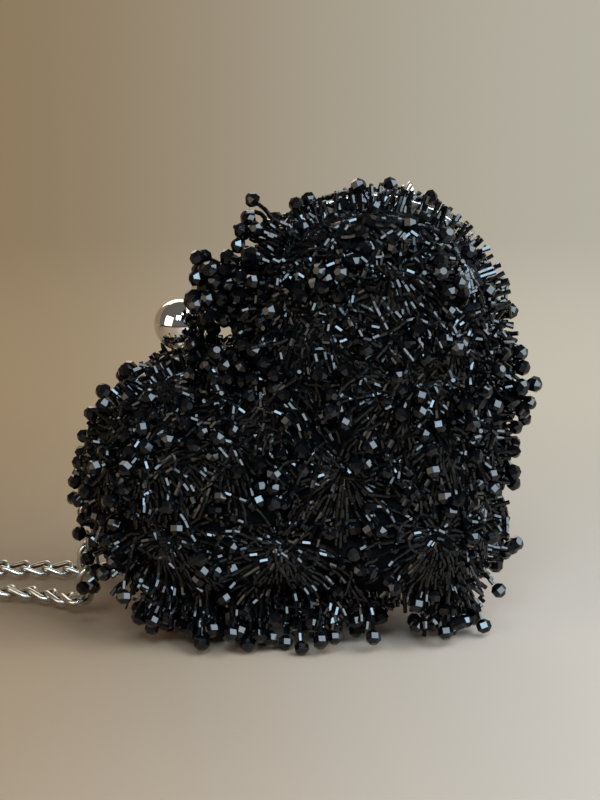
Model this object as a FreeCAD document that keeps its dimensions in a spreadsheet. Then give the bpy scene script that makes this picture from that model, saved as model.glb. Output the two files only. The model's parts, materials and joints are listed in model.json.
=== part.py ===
import FreeCAD, Part
import math
import os
import Sketcher
from FreeCAD import Placement, Rotation, Vector

# Heart shaped evening purse on a kiss lock frame, in millimetres, standing on one straight side.
# The bag is drawn in its own upright frame: X runs along the hinge line through both lobe centres,
# Z up to the notch, Y away from the viewer. One placement then leans it over onto its side.
doc = FreeCAD.newDocument("heart_purse")
sheet = doc.addObject("Spreadsheet::Sheet", "sizes")

DRIVING_SIZES = [
    ("lean_angle", 45.0),
    ("hinge_mid_x", 2.0),
    ("hinge_mid_z", 84.5),
    ("lobe_offset", 38.9),
    ("notch_round", 5.0),
    ("notch_least", 4.0),
    ("half_gap", 0.2),
    ("soft_gap", 0.3),
    ("dome_radius", 40.0),
    ("dome_depth", 26.0),
    ("dome_edge", 18.0),
    ("dome_tip", 20.0),
    ("panel_wall", 1.2),
    ("lining_wall", 0.7),
    ("hem_reach", 3.0),
    ("hem_level", 2.2),
    ("hem_thick", 1.2),
    ("rail_clear", 0.5),
    ("rail_reach", 6.5),
    ("rail_depth", 6.2),
    ("rail_wall", 0.9),
    ("rail_round", 0.7),
    ("rail_end_rise", 7.0),
    ("rail_room", 0.5),
    ("packing_reach", 2.2),
    ("packing_width", 1.6),
    ("packing_level", 3.7),
    ("packing_thick", 1.3),
    ("fringe_cover", 12.5),
    ("fringe_loft", 8.0),
    ("fringe_crown", 12.0),
    ("fringe_tip", 48.0),
    ("flower_floor", 2.0),
    ("flower_foot", 3.5),
    ("flower_slope", 45.0),
    ("fringe_left", 2.0),
    ("fringe_drop", 5.0),
    ("open_angle", 50.0),
    ("crease_spare", 3.0),
    ("flap_edge", 12.0),
    ("ball_diameter", 18.4),
    ("ball_spread", 9.7),
    ("ball_rise", 12.9),
    ("ball_cross", 2.0),
    ("clasp_room", 1.2),
    ("post_room", 3.5),
    ("post_pit", 10.0),
    ("pit_room", 1.5),
    ("post_diameter", 3.2),
    ("post_socket", 3.0),
    ("tab_radius", 4.5),
    ("tab_thick", 1.0),
    ("tab_lap", 3.5),
    ("tab_turn", 20.0),
    ("tab_gap", 0.2),
    ("rivet_diameter", 2.5),
    ("rivet_fit", 0.05),
    ("rivet_head", 5.0),
    ("rivet_head_thick", 0.8),
    ("hinge_room", 4.0),
    ("hinge_below", 6.5),
    ("hinge_above", 14.0),
    ("ear_angle", 29.0),
    ("ear_level", 3.2),
    ("ear_bend", 2.4),
    ("ear_leg", 1.4),
    ("ear_wire", 1.6),
    ("ear_room", 6.0),
    ("drop_room", 4.9),
    ("drop_top", 2.9),
    ("groove_half", 7.5),
    ("groove_drop", 32.0),
    ("jump_wire", 1.4),
    ("jump_half_width", 2.0),
    ("jump_length", 12.0),
    ("ring_wire", 1.8),
    ("ring_bend", 3.1),
    ("link_wire", 2.2),
    ("link_length", 13.2),
    ("link_width", 9.0),
    ("link_play", 0.2),
    ("tassel_top", 5.0),
    ("tassel_foot", 13.0),
    ("tassel_height", 30.0),
    ("tassel_x", 63.0),
    ("tassel_y", -14.0),
]
for row, (alias, size) in enumerate(DRIVING_SIZES, start=1):
    sheet.set("A%d" % row, str(size))
    sheet.setAlias("A%d" % row, alias)
doc.recompute()


def size(alias):
    return float(getattr(sheet, alias))


def sheet_value(formula):
    """The number that a sheet formula has now."""
    return float(sheet.evalExpression(formula))


# Sizes that follow from the driving ones, as sheet formulas
RAIL_INNER = "(sizes.dome_radius + sizes.rail_clear)"
RAIL_OUTER = "(sizes.dome_radius + sizes.rail_reach)"
RAIL_WEB = "(sizes.dome_radius + sizes.rail_reach - sizes.rail_wall)"
NOTCH_SUM = "(sizes.dome_radius + sizes.rail_reach + sizes.notch_round)"
HEM_RADIUS = "(sizes.dome_radius + sizes.hem_reach)"
PACKING_INNER = "(sizes.dome_radius + sizes.packing_reach)"
PACKING_OUTER = "(sizes.dome_radius + sizes.packing_reach + sizes.packing_width)"
FRINGE_RADIUS = "(sizes.dome_radius + sizes.fringe_cover)"
FRINGE_DEPTH = "(sizes.dome_depth + sizes.fringe_loft)"

# The fringe's edge is rounded as far as the corner of the hollow for the panel leaves it a wall
FRINGE_ASIDE = "(sizes.fringe_cover - sizes.soft_gap - sqrt(sizes.fringe_left ^ 2 + sizes.fringe_drop ^ 2))"
FRINGE_ABOVE = "(sizes.fringe_loft - sizes.soft_gap)"
FRINGE_MOST = "(%s + %s + sqrt(2 * %s * %s) - sizes.flower_floor)" % (
    FRINGE_ASIDE, FRINGE_ABOVE, FRINGE_ASIDE, FRINGE_ABOVE)
FRINGE_EDGE = "min(sizes.dome_depth + sizes.fringe_loft - sizes.fringe_crown; %s)" % FRINGE_MOST
WEB_HEIGHT = "sqrt(%s ^ 2 - (sizes.lobe_offset - sizes.ball_spread) ^ 2)" % RAIL_WEB
BALL_HEIGHT = "(%s + sizes.ball_rise)" % WEB_HEIGHT
rail_outer = sheet_value(RAIL_OUTER)
fringe_depth = sheet_value(FRINGE_DEPTH)
ball_height = sheet_value(BALL_HEIGHT)

LEAN = Placement(
    Vector(size("hinge_mid_x"), 0, size("hinge_mid_z")),
    Rotation(Vector(0, 1, 0), -size("lean_angle")),
)
FAR = 200.0
finished = []


def own_point(x, z):
    """A point of the standing picture plane, given in the bag's own upright frame."""
    local = LEAN.inverse().multVec(Vector(x, 0, z))
    return local.x, local.z


def new_body(label):
    body = doc.addObject("PartDesign::Body", label)
    body.Label = label
    body.Placement = LEAN
    finished.append(body)
    return body


def new_sketch(body, role, level="0"):
    """A sketch on one of the body's origin planes, lifted along the plane's normal by a sheet formula."""
    sketch = body.newObject("Sketcher::SketchObject", body.Label + "_sketch")
    plane = [p for p in body.Origin.OriginFeatures if p.Role == role][0]
    sketch.AttachmentSupport = [(plane, "")]
    sketch.MapMode = "FlatFace"
    sketch.setExpression(".AttachmentOffset.Base.z", level)
    return sketch


def bind(sketch, index, formula):
    sketch.setExpression("Constraints[%d]" % index, formula)


def arc(centre, radius, start, end):
    circle = Part.Circle(Vector(centre[0], centre[1], 0), Vector(0, 0, 1), radius)
    return Part.ArcOfCircle(circle, start, end)


def line(first, second):
    return Part.LineSegment(Vector(first[0], first[1], 0), Vector(second[0], second[1], 0))


def chain_tangent(sketch, pairs):
    for first, first_end, second, second_end in pairs:
        sketch.addConstraint(Sketcher.Constraint("Tangent", first, first_end, second, second_end))


def hold_centre(sketch, piece, x_formula, y_formula):
    centre = sketch.Geometry[piece].Center
    bind(sketch, sketch.addConstraint(Sketcher.Constraint("DistanceX", -1, 1, piece, 3, centre.x)), x_formula)
    if y_formula is None:
        sketch.addConstraint(Sketcher.Constraint("PointOnObject", piece, 3, -1))
    else:
        height = sketch.addConstraint(Sketcher.Constraint("DistanceY", -1, 1, piece, 3, centre.y))
        bind(sketch, height, y_formula)


def hold_radius(sketch, piece, formula):
    radius = sketch.Geometry[piece].Radius
    bind(sketch, sketch.addConstraint(Sketcher.Constraint("Radius", piece, radius)), formula)


FRINGE_SHIFT_X = "-(sizes.fringe_left + sizes.fringe_drop) / sqrt(2)"
FRINGE_SHIFT_Z = "(sizes.fringe_left - sizes.fringe_drop) / sqrt(2)"


def heart(sketch, radius, radius_formula, tip, tip_formula, hanging=False):
    """Closed heart: two lobes, a rounded notch, two straight sides at a right angle and a rounded tip.
    The hanging bead heart sits a little lower and further left than the frame that carries it."""
    offset = size("lobe_offset")
    shift_x = -(size("fringe_left") + size("fringe_drop")) / math.sqrt(2) if hanging else 0.0
    shift_z = (size("fringe_left") - size("fringe_drop")) / math.sqrt(2) if hanging else 0.0
    notch = max(sheet_value(NOTCH_SUM) - radius, size("notch_least"))
    notch_formula = "max(%s - (%s); sizes.notch_least)" % (NOTCH_SUM, radius_formula)
    notch_z = math.sqrt((radius + notch) ** 2 - offset ** 2)
    notch_turn = math.atan2(notch_z, offset)
    tip_z = -(offset + radius * math.sqrt(2)) + tip * math.sqrt(2)
    corner = math.pi / 4

    def at(x, z):
        return x + shift_x, z + shift_z

    lobe_foot = (offset + radius * math.cos(corner), -radius * math.sin(corner))
    tip_foot = (tip * math.cos(corner), tip_z - tip * math.sin(corner))
    sketch.addGeometry([
        arc(at(offset, 0), radius, -corner, math.pi - notch_turn),
        arc(at(0, notch_z), notch, math.pi + notch_turn, 2 * math.pi - notch_turn),
        arc(at(-offset, 0), radius, notch_turn, math.pi + corner),
        line(at(-lobe_foot[0], lobe_foot[1]), at(-tip_foot[0], tip_foot[1])),
        arc(at(0, tip_z), tip, math.pi + corner, 2 * math.pi - corner),
        line(at(*tip_foot), at(*lobe_foot)),
    ], False)
    chain_tangent(sketch, [
        (0, 2, 1, 2), (1, 1, 2, 1), (2, 2, 3, 1), (3, 2, 4, 1), (4, 2, 5, 1), (5, 2, 0, 1)])
    if hanging:
        hold_centre(sketch, 0, "sizes.lobe_offset + " + FRINGE_SHIFT_X, FRINGE_SHIFT_Z)
        hold_centre(sketch, 2, "-sizes.lobe_offset + " + FRINGE_SHIFT_X, FRINGE_SHIFT_Z)
    else:
        hold_centre(sketch, 0, "sizes.lobe_offset", None)
        hold_centre(sketch, 2, "-sizes.lobe_offset", None)
    hold_radius(sketch, 0, radius_formula)
    sketch.addConstraint(Sketcher.Constraint("Equal", 0, 2))
    hold_radius(sketch, 1, notch_formula)
    hold_radius(sketch, 4, tip_formula)
    sketch.addConstraint(Sketcher.Constraint("Perpendicular", 3, 5))
    sketch.addConstraint(Sketcher.Constraint("Equal", 3, 5))


def polygon(sketch, points):
    """A closed outline whose corners are locked where the sheet's sizes put them."""
    count = len(points)
    for number in range(count):
        sketch.addGeometry(line(points[number], points[(number + 1) % count]), False)
    for number in range(count):
        sketch.addConstraint(Sketcher.Constraint("Coincident", number, 2, (number + 1) % count, 1))
        sketch.addConstraint(Sketcher.Constraint("Block", number))


def pad(body, sketch, formula, rear):
    feature = body.newObject("PartDesign::Pad", body.Label + "_pad")
    feature.Profile = sketch
    feature.setExpression("Length", formula)
    feature.Reversed = rear
    doc.recompute()
    return feature


def pocket(body, sketch, formula, rear):
    """Cuts from the sketch away from the purse's middle plane."""
    feature = body.newObject("PartDesign::Pocket", body.Label + "_pocket")
    feature.Profile = sketch
    feature.setExpression("Length", formula)
    feature.Reversed = not rear
    doc.recompute()
    return feature


def cut_through(body, sketch):
    feature = body.newObject("PartDesign::Pocket", body.Label + "_trim")
    feature.Profile = sketch
    feature.Length = 4 * FAR
    feature.Midplane = True
    doc.recompute()
    return feature


def round_level(body, base, level, formula):
    """Rounds every edge that lies in the plane Y = level."""
    names = []
    for number, edge in enumerate(base.Shape.Edges, start=1):
        box = edge.BoundBox
        if abs(box.YMin - level) < 1e-4 and abs(box.YMax - level) < 1e-4:
            names.append("Edge%d" % number)
    feature = body.newObject("PartDesign::Fillet", body.Label + "_round")
    feature.Base = (base, names)
    feature.setExpression("Radius", formula)
    doc.recompute()
    return feature


def level_of(rear, formula):
    """Sketch lift on the XZ plane, whose normal points at the viewer."""
    return "-(%s)" % formula if rear else formula


def side(rear):
    return 1.0 if rear else -1.0


# Zones of the soft front: the flap turns with the frame, the fold creases below it, the rest stays
def keep_zone(body, zone):
    rise = math.radians(size("open_angle")) - math.atan2(size("flap_edge"), fringe_depth)
    slope = math.tan(rise + math.radians(size("crease_spare")))
    gap = size("soft_gap")
    low_left = (-FAR, -FAR * slope)
    if zone in ("flap", "fold"):
        cut = new_sketch(body, "YZ_Plane")
        if zone == "flap":
            edge = size("flap_edge") + gap
            polygon(cut, [(-FAR, -FAR), (FAR, -FAR), (FAR, edge), (-FAR, edge)])
        else:
            edge = size("flap_edge")
            polygon(cut, [(-FAR, edge), (FAR, edge), (FAR, FAR), (-FAR, FAR)])
        cut_through(body, cut)
    if zone in ("fold", "base"):
        cut = new_sketch(body, "YZ_Plane")
        if zone == "fold":
            polygon(cut, [(0, 0), low_left, (-FAR, -2 * FAR), (FAR, -2 * FAR), (FAR, 0)])
        else:
            polygon(cut, [(0, -gap), (low_left[0], low_left[1] - gap), (-FAR, FAR), (FAR, FAR), (FAR, -gap)])
        cut_through(body, cut)


def soft_dish(label, rear, radius, depth, edge, tip, wall, zone=None, hem=False):
    """Half of a padded heart: a rounded dish open at the middle plane. Sizes are sheet formulas."""
    values = {}
    for name, formula in (("radius", radius), ("depth", depth), ("edge", edge), ("tip", tip), ("wall", wall)):
        values[name] = sheet_value(formula)
    body = new_body(label)
    outer = new_sketch(body, "XZ_Plane", level_of(rear, "sizes.half_gap"))
    heart(outer, values["radius"], radius, values["tip"], tip)
    base = pad(body, outer, "(%s) - sizes.half_gap" % depth, rear)
    base = round_level(body, base, side(rear) * values["depth"], edge)
    mouth = side(rear) * size("half_gap")
    face = ["Face%d" % number for number, face in enumerate(base.Shape.Faces, start=1)
            if abs(face.BoundBox.YMin - mouth) < 1e-4 and abs(face.BoundBox.YMax - mouth) < 1e-4]
    hollow = body.newObject("PartDesign::Thickness", label + "_hollow")
    hollow.Base = (base, face)
    hollow.setExpression("Value", wall)
    hollow.Reversed = True
    doc.recompute()
    if hem:
        rim = new_sketch(body, "XZ_Plane", level_of(rear, "sizes.hem_level"))
        heart(rim, sheet_value(HEM_RADIUS), HEM_RADIUS, values["tip"] + size("hem_reach"),
              "(%s) + sizes.hem_reach" % tip)
        pad(body, rim, "sizes.hem_thick", rear)
        mouth_cut = new_sketch(body, "XZ_Plane", level_of(rear, "sizes.hem_level"))
        inset = values["wall"] / 2
        heart(mouth_cut, values["radius"] - inset, "(%s) - (%s) / 2" % (radius, wall),
              values["tip"] - inset, "(%s) - (%s) / 2" % (tip, wall))
        pocket(body, mouth_cut, "sizes.hem_thick", rear)
    if zone:
        keep_zone(body, zone)
    return body


def window(body, outline, rear, formula):
    """Clears room in a bead layer, from the middle plane outward."""
    sketch = new_sketch(body, "XZ_Plane", "0")
    outline(sketch)
    pocket(body, sketch, formula, rear)


def clasp_outline(sketch):
    reach = size("ball_diameter") / 2 + size("clasp_room")
    spread = size("ball_spread")
    height = ball_height
    sketch.addGeometry([
        arc((spread, height), reach, -math.pi / 2, math.pi / 2),
        line((spread, height + reach), (-spread, height + reach)),
        arc((-spread, height), reach, math.pi / 2, 3 * math.pi / 2),
        line((-spread, height - reach), (spread, height - reach)),
    ], False)
    chain_tangent(sketch, [(0, 2, 1, 1), (1, 2, 2, 1), (2, 2, 3, 1), (3, 2, 0, 1)])
    hold_centre(sketch, 0, "sizes.ball_spread", BALL_HEIGHT)
    hold_centre(sketch, 2, "-sizes.ball_spread", BALL_HEIGHT)
    hold_radius(sketch, 0, "sizes.ball_diameter / 2 + sizes.clasp_room")


def post_outline(sketch):
    half = size("ball_spread") + size("post_room")
    foot = sheet_value(WEB_HEIGHT) - size("post_pit")
    polygon(sketch, [(-half, foot), (half, foot), (half, ball_height), (-half, ball_height)])


def hinge_outline(sketch, hand):
    near = size("lobe_offset") + rail_outer - size("hinge_room")
    far = size("lobe_offset") + rail_outer + size("hinge_room")
    low = -size("hinge_below")
    top = size("hinge_above")
    polygon(sketch, [(hand * near, low), (hand * far, low), (hand * far, top), (hand * near, top)])


def room_outline(sketch, left, right, low, top):
    """An upright box of the standing picture plane."""
    polygon(sketch, [own_point(*p) for p in ((left, low), (right, low), (right, top), (left, top))])


# Flower centres on each face, in the standing picture plane
FLOWERS = (
    (17, 114), (19, 67), (-21, 79), (-10, 100), (58, 112), (53, 80), (-50, 78), (-42, 44), (-2, 40),
    (2, 127), (53, 44), (36, 136), (38, 96),
)


def flower_hollows(body, rear):
    """Hollows in a bead layer where the flowers of strands are sewn on and from which they spread."""
    lift = "sizes.dome_depth + sizes.soft_gap + sizes.flower_floor"
    sketch = new_sketch(body, "XZ_Plane", level_of(rear, lift))
    for number, spot in enumerate(FLOWERS):
        x, z = own_point(*spot)
        sketch.addGeometry(Part.Circle(Vector(x, z, 0), Vector(0, 0, 1), size("flower_foot")), False)
        sketch.addConstraint(Sketcher.Constraint("DistanceX", -1, 1, number, 3, x))
        sketch.addConstraint(Sketcher.Constraint("DistanceY", -1, 1, number, 3, z))
        hold_radius(sketch, number, "sizes.flower_foot")
    hollows = pocket(body, sketch, "sizes.fringe_loft", rear)
    hollows.setExpression("TaperAngle", "sizes.flower_slope")
    doc.recompute()


def bead_layer(label, rear, zone=None):
    """Half of the thick bead fringe, with room inside it for the padded panel and the frame."""
    body = new_body(label)
    outer = new_sketch(body, "XZ_Plane", level_of(rear, "sizes.half_gap"))
    heart(outer, sheet_value(FRINGE_RADIUS), FRINGE_RADIUS, size("fringe_tip"), "sizes.fringe_tip", True)
    base = pad(body, outer, FRINGE_DEPTH + " - sizes.half_gap", rear)
    round_level(body, base, side(rear) * fringe_depth, FRINGE_EDGE)
    inner = new_sketch(body, "XZ_Plane", "0")
    heart(inner, size("dome_radius") + size("soft_gap"), "sizes.dome_radius + sizes.soft_gap",
          size("dome_tip") + size("soft_gap"), "sizes.dome_tip + sizes.soft_gap")
    base = pocket(body, inner, "sizes.dome_depth + sizes.soft_gap", rear)
    round_level(body, base, side(rear) * (size("dome_depth") + size("soft_gap")), "sizes.dome_edge")
    flower_hollows(body, rear)
    frame_room = new_sketch(body, "XZ_Plane", "0")
    heart(frame_room, rail_outer + size("rail_room"), RAIL_OUTER + " + sizes.rail_room",
          size("dome_tip") + size("rail_reach") + size("rail_room"),
          "sizes.dome_tip + sizes.rail_reach + sizes.rail_room")
    pocket(body, frame_room, "sizes.rail_depth + sizes.rail_room", rear)
    if zone in (None, "flap"):
        window(body, clasp_outline, rear, "sizes.ball_diameter / 2 + sizes.ball_cross + sizes.clasp_room")
        window(body, post_outline, rear, "sizes.rail_depth + sizes.pit_room")
    for hand in (-1, 1):
        window(body, lambda sketch: hinge_outline(sketch, hand), rear, "sizes.rail_depth + sizes.pit_room")
    floor_cut = new_sketch(body, "XZ_Plane", "0")
    room_outline(floor_cut, -FAR, FAR, -FAR, 0)
    cut_through(body, floor_cut)
    left_eye = chain_eye(-1)
    drop_cut = new_sketch(body, "XZ_Plane", "0")
    room_outline(drop_cut, -FAR, left_eye.x + size("drop_room"), -FAR, left_eye.z + size("drop_top"))
    cut_through(body, drop_cut)
    if rear:
        right_eye = chain_eye(1)
        half = size("groove_half")
        groove = new_sketch(body, "XZ_Plane", "0")
        room_outline(groove, right_eye.x - half, right_eye.x + half, right_eye.z - size("groove_drop"), FAR)
        pocket(body, groove, FRINGE_DEPTH + " + sizes.pit_room", rear)
        room = size("ear_room")
        ear_cut = new_sketch(body, "XZ_Plane", "0")
        room_outline(ear_cut, -FAR, left_eye.x + room, left_eye.z - room, left_eye.z + room)
        pocket(body, ear_cut, "sizes.rail_depth + sizes.pit_room", rear)
    if zone:
        keep_zone(body, zone)
    return body


def arch(sketch, outer, outer_formula, inner, inner_formula, rise, rise_formula):
    """Band that follows both lobes and the notch, cut off level at both ends above the hinge line."""
    offset = size("lobe_offset")
    reach = sheet_value(NOTCH_SUM)
    notch_z = math.sqrt(reach ** 2 - offset ** 2)
    turn = math.atan2(notch_z, offset)
    outer_notch = reach - outer
    inner_notch = reach - inner
    outer_start = math.asin(rise / outer)
    inner_start = math.asin(rise / inner)
    outer_end = (offset + math.sqrt(outer ** 2 - rise ** 2), rise)
    inner_end = (offset + math.sqrt(inner ** 2 - rise ** 2), rise)
    sketch.addGeometry([
        arc((offset, 0), outer, outer_start, math.pi - turn),
        arc((0, notch_z), outer_notch, math.pi + turn, 2 * math.pi - turn),
        arc((-offset, 0), outer, turn, math.pi - outer_start),
        line((-outer_end[0], rise), (-inner_end[0], rise)),
        arc((-offset, 0), inner, turn, math.pi - inner_start),
        arc((0, notch_z), inner_notch, math.pi + turn, 2 * math.pi - turn),
        arc((offset, 0), inner, inner_start, math.pi - turn),
        line(inner_end, outer_end),
    ], False)
    chain_tangent(sketch, [(0, 2, 1, 2), (1, 1, 2, 1), (6, 2, 5, 2), (5, 1, 4, 1)])
    for first, first_end, second, second_end in ((2, 2, 3, 1), (3, 2, 4, 2), (6, 1, 7, 1), (7, 2, 0, 1)):
        sketch.addConstraint(Sketcher.Constraint("Coincident", first, first_end, second, second_end))
    hold_centre(sketch, 0, "sizes.lobe_offset", None)
    hold_centre(sketch, 2, "-sizes.lobe_offset", None)
    sketch.addConstraint(Sketcher.Constraint("Coincident", 6, 3, 0, 3))
    sketch.addConstraint(Sketcher.Constraint("Coincident", 4, 3, 2, 3))
    hold_radius(sketch, 0, outer_formula)
    sketch.addConstraint(Sketcher.Constraint("Equal", 0, 2))
    hold_radius(sketch, 6, inner_formula)
    sketch.addConstraint(Sketcher.Constraint("Equal", 6, 4))
    hold_radius(sketch, 1, "%s - (%s)" % (NOTCH_SUM, outer_formula))
    hold_radius(sketch, 5, "%s - (%s)" % (NOTCH_SUM, inner_formula))
    for cap in (3, 7):
        sketch.addConstraint(Sketcher.Constraint("Horizontal", cap))
        height = sketch.addConstraint(Sketcher.Constraint("DistanceY", -1, 1, cap, 1, rise))
        bind(sketch, height, rise_formula)


def tab_pad(body, rear, hand, near, thick, outline):
    """Pads an outline in the YZ plane between two X levels, mirrored to the left side for hand -1."""
    start = near if hand > 0 else "-(%s) - (%s)" % (near, thick)
    sketch = new_sketch(body, "YZ_Plane", start)
    outline(sketch, side(rear))
    feature = body.newObject("PartDesign::Pad", body.Label + "_tab")
    feature.Profile = sketch
    feature.setExpression("Length", thick)
    doc.recompute()


def tab_outline(sketch, way):
    """Round hinge eye on the axis with a strap up to the rail's end."""
    radius = size("tab_radius")
    near = way * size("half_gap")
    far = way * size("rail_depth")
    top = size("rail_end_rise") + size("tab_lap")
    angle = math.acos(abs(near) / radius)
    start = math.pi / 2 - way * (math.pi / 2 - angle)
    foot = (near, radius * math.sin(angle))
    shoulder = (far, size("rail_end_rise"))
    turn = math.radians(size("tab_turn"))
    rim = (way * radius * math.cos(turn), radius * math.sin(turn))
    first, last = start, 2 * math.pi + turn
    if way < 0:
        first, last = math.pi - turn, 2 * math.pi + start
    sketch.addGeometry([
        arc((0, 0), radius, first, last),
        line(rim, shoulder),
        line(shoulder, (far, top)),
        line((far, top), (near, top)),
        line((near, top), foot),
    ], False)
    ends = ((0, 2, 1, 1), (1, 2, 2, 1), (2, 2, 3, 1), (3, 2, 4, 1), (4, 2, 0, 1))
    if way < 0:
        ends = ((0, 1, 1, 1), (1, 2, 2, 1), (2, 2, 3, 1), (3, 2, 4, 1), (4, 2, 0, 2))
    for first, first_end, second, second_end in ends:
        sketch.addConstraint(Sketcher.Constraint("Coincident", first, first_end, second, second_end))
    for piece in range(5):
        sketch.addConstraint(Sketcher.Constraint("Block", piece))


def jog_outline(sketch, way):
    """Thickened rail end that carries the rear eye past the front one."""
    low = size("rail_end_rise")
    near = way * size("half_gap")
    far = way * size("rail_depth")
    polygon(sketch, [(near, low), (far, low), (far, low + 3.5), (near, low + 3.5)])


def rail(label, rear):
    """Half of the frame: a channel rail open towards the bag, with a hinge eye at each end."""
    body = new_body(label)
    band = new_sketch(body, "XZ_Plane", level_of(rear, "sizes.half_gap"))
    rise = size("rail_end_rise")
    arch(band, rail_outer, RAIL_OUTER, sheet_value(RAIL_INNER), RAIL_INNER, rise, "sizes.rail_end_rise")
    base = pad(body, band, "sizes.rail_depth - sizes.half_gap", rear)
    outer_radii = (rail_outer, size("notch_round"))
    names = []
    for number, edge in enumerate(base.Shape.Edges, start=1):
        if hasattr(edge.Curve, "Radius") and min(abs(edge.Curve.Radius - r) for r in outer_radii) < 1e-4:
            names.append("Edge%d" % number)
    crown = body.newObject("PartDesign::Fillet", label + "_crown")
    crown.Base = (base, names)
    crown.setExpression("Radius", "sizes.rail_round")
    doc.recompute()
    channel = new_sketch(body, "XZ_Plane", level_of(rear, "sizes.half_gap + sizes.rail_wall"))
    past = size("rail_wall")
    arch(channel, sheet_value(RAIL_WEB), RAIL_WEB,
         sheet_value(RAIL_INNER) - past, RAIL_INNER + " - sizes.rail_wall",
         rise - past, "sizes.rail_end_rise - sizes.rail_wall")
    pocket(body, channel, "sizes.rail_depth - sizes.half_gap - 2 * sizes.rail_wall", rear)
    front_eye = "sizes.lobe_offset + %s - sizes.tab_thick" % RAIL_OUTER
    rear_eye = "sizes.lobe_offset + %s + sizes.tab_gap" % RAIL_OUTER
    for hand in (-1, 1):
        tab_pad(body, rear, hand, rear_eye if rear else front_eye, "sizes.tab_thick", tab_outline)
        if rear:
            tab_pad(body, rear, hand, front_eye, "2 * sizes.tab_thick + sizes.tab_gap", jog_outline)
    bore = new_sketch(body, "YZ_Plane")
    radius = size("rivet_diameter") / 2 + size("rivet_fit")
    bore.addGeometry(Part.Circle(Vector(0, 0, 0), Vector(0, 0, 1), radius), False)
    bore.addConstraint(Sketcher.Constraint("Coincident", 0, 3, -1, 1))
    hold_radius(bore, 0, "sizes.rivet_diameter / 2 + sizes.rivet_fit")
    cut_through(body, bore)
    return body


def packing(label, rear):
    """Paper cord pressed into the channel, which grips the hem of the panel."""
    body = new_body(label)
    band = new_sketch(body, "XZ_Plane", level_of(rear, "sizes.packing_level"))
    arch(band, sheet_value(PACKING_OUTER), PACKING_OUTER, sheet_value(PACKING_INNER), PACKING_INNER,
         size("rail_end_rise") + size("packing_width"), "sizes.rail_end_rise + sizes.packing_width")
    pad(body, band, "sizes.packing_thick", rear)
    return body


def rivet(label, hand):
    """Turned hinge rivet through both eyes, with a chamfered head at each end."""
    body = new_body(label)
    inside = size("lobe_offset") + rail_outer - size("tab_thick") - size("tab_gap")
    outside = inside + 2 * size("tab_thick") + 3 * size("tab_gap")
    head = size("rivet_head") / 2
    shank = size("rivet_diameter") / 2
    thick = size("rivet_head_thick")
    bevel = thick / 2
    profile = [
        (inside - thick, 0), (inside - thick, head - bevel), (inside - bevel, head), (inside, head),
        (inside, shank), (outside, shank), (outside, head), (outside + bevel, head),
        (outside + thick, head - bevel), (outside + thick, 0),
    ]
    sketch = new_sketch(body, "XZ_Plane")
    polygon(sketch, [(hand * x, z) for x, z in profile])
    turn = body.newObject("PartDesign::Revolution", label + "_turn")
    turn.Profile = sketch
    turn.ReferenceAxis = (sketch, ["H_Axis"])
    turn.Angle = 360
    doc.recompute()
    return body


def placed(label, shape):
    """A sub-part whose shape is swept or cut by code from sheet sizes."""
    feature = doc.addObject("Part::Feature", label)
    feature.Label = label
    feature.Shape = shape
    finished.append(feature)
    return feature


def cylinder(radius_formula, start, end):
    feature = doc.addObject("Part::Cylinder", "rod")
    feature.setExpression("Radius", radius_formula)
    feature.Height = (end - start).Length
    turn = Rotation(Vector(0, 0, 1), end - start)
    feature.Placement = LEAN.multiply(Placement(start, turn))
    return feature


def cut(label, base, tool):
    feature = doc.addObject("Part::Cut", label)
    feature.Label = label
    feature.Base = base
    feature.Tool = tool
    doc.recompute()
    finished.append(feature)
    return feature


def clasp(name, rear):
    """One side of the kiss lock: a drilled ball on a post that leans across the middle plane."""
    hand = 1.0 if rear else -1.0
    way = side(rear)
    ball_x = hand * size("ball_spread")
    centre = Vector(ball_x, -way * size("ball_cross"), ball_height)
    foot_z = sheet_value(WEB_HEIGHT) - size("rail_wall")
    foot = Vector(ball_x, way * (size("half_gap") + size("rail_depth")) / 2, foot_z)
    axis = (centre - foot).normalize()
    socket = centre - axis * (size("ball_diameter") / 2 - size("post_socket"))
    post = cylinder("sizes.post_diameter / 2", foot, socket)
    post.Label = name + "_ball_post"
    sphere = doc.addObject("Part::Sphere", name + "_ball_blank")
    sphere.setExpression("Radius", "sizes.ball_diameter / 2")
    sphere.Placement = LEAN.multiply(Placement(centre, Rotation()))
    drill = cylinder("sizes.post_diameter / 2", foot, socket)
    doc.recompute()
    finished.append(post)
    cut(name + "_ball", sphere, drill)
    frame_blank = rail(name + "_frame_blank", rear)
    finished.remove(frame_blank)
    slot = cylinder("sizes.post_diameter / 2", foot, socket)
    doc.recompute()
    cut(name + "_frame", frame_blank, slot)


def half_bend(radius, wire):
    """Half ring of wire that arches over the origin in the XZ plane."""
    section = Part.Face(Part.Wire(Part.Circle(Vector(radius, 0, 0), Vector(0, 0, 1), wire / 2).toShape()))
    return section.revolve(Vector(0, 0, 0), Vector(0, 1, 0), -180)


def wire_ring(half_width, length, wire):
    """Long ring lying in XZ about the origin: two half bends and two rods. Length is between wire centres."""
    straight = length - 2 * half_width
    top = half_bend(half_width, wire)
    top.translate(Vector(0, 0, straight / 2))
    foot = half_bend(half_width, wire)
    foot.rotate(Vector(0, 0, 0), Vector(0, 1, 0), 180)
    foot.translate(Vector(0, 0, -straight / 2))
    pieces = [foot]
    if straight > 0.01:
        for hand in (-1, 1):
            start = Vector(hand * half_width, 0, -straight / 2)
            pieces.append(Part.makeCylinder(wire / 2, straight, start, Vector(0, 0, 1)))
    return top.multiFuse(pieces)


def turned(shape, along, flat, centre):
    """A copy of a ring with its length along one direction, its flat face across another, at a point."""
    along = Vector(along).normalize()
    flat = Vector(flat)
    flat = (flat - along * flat.dot(along)).normalize()
    across = flat.cross(along)
    copy = shape.copy()
    copy.Placement = Placement(centre, Rotation(across, flat, along, "ZXY"))
    return copy


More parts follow.
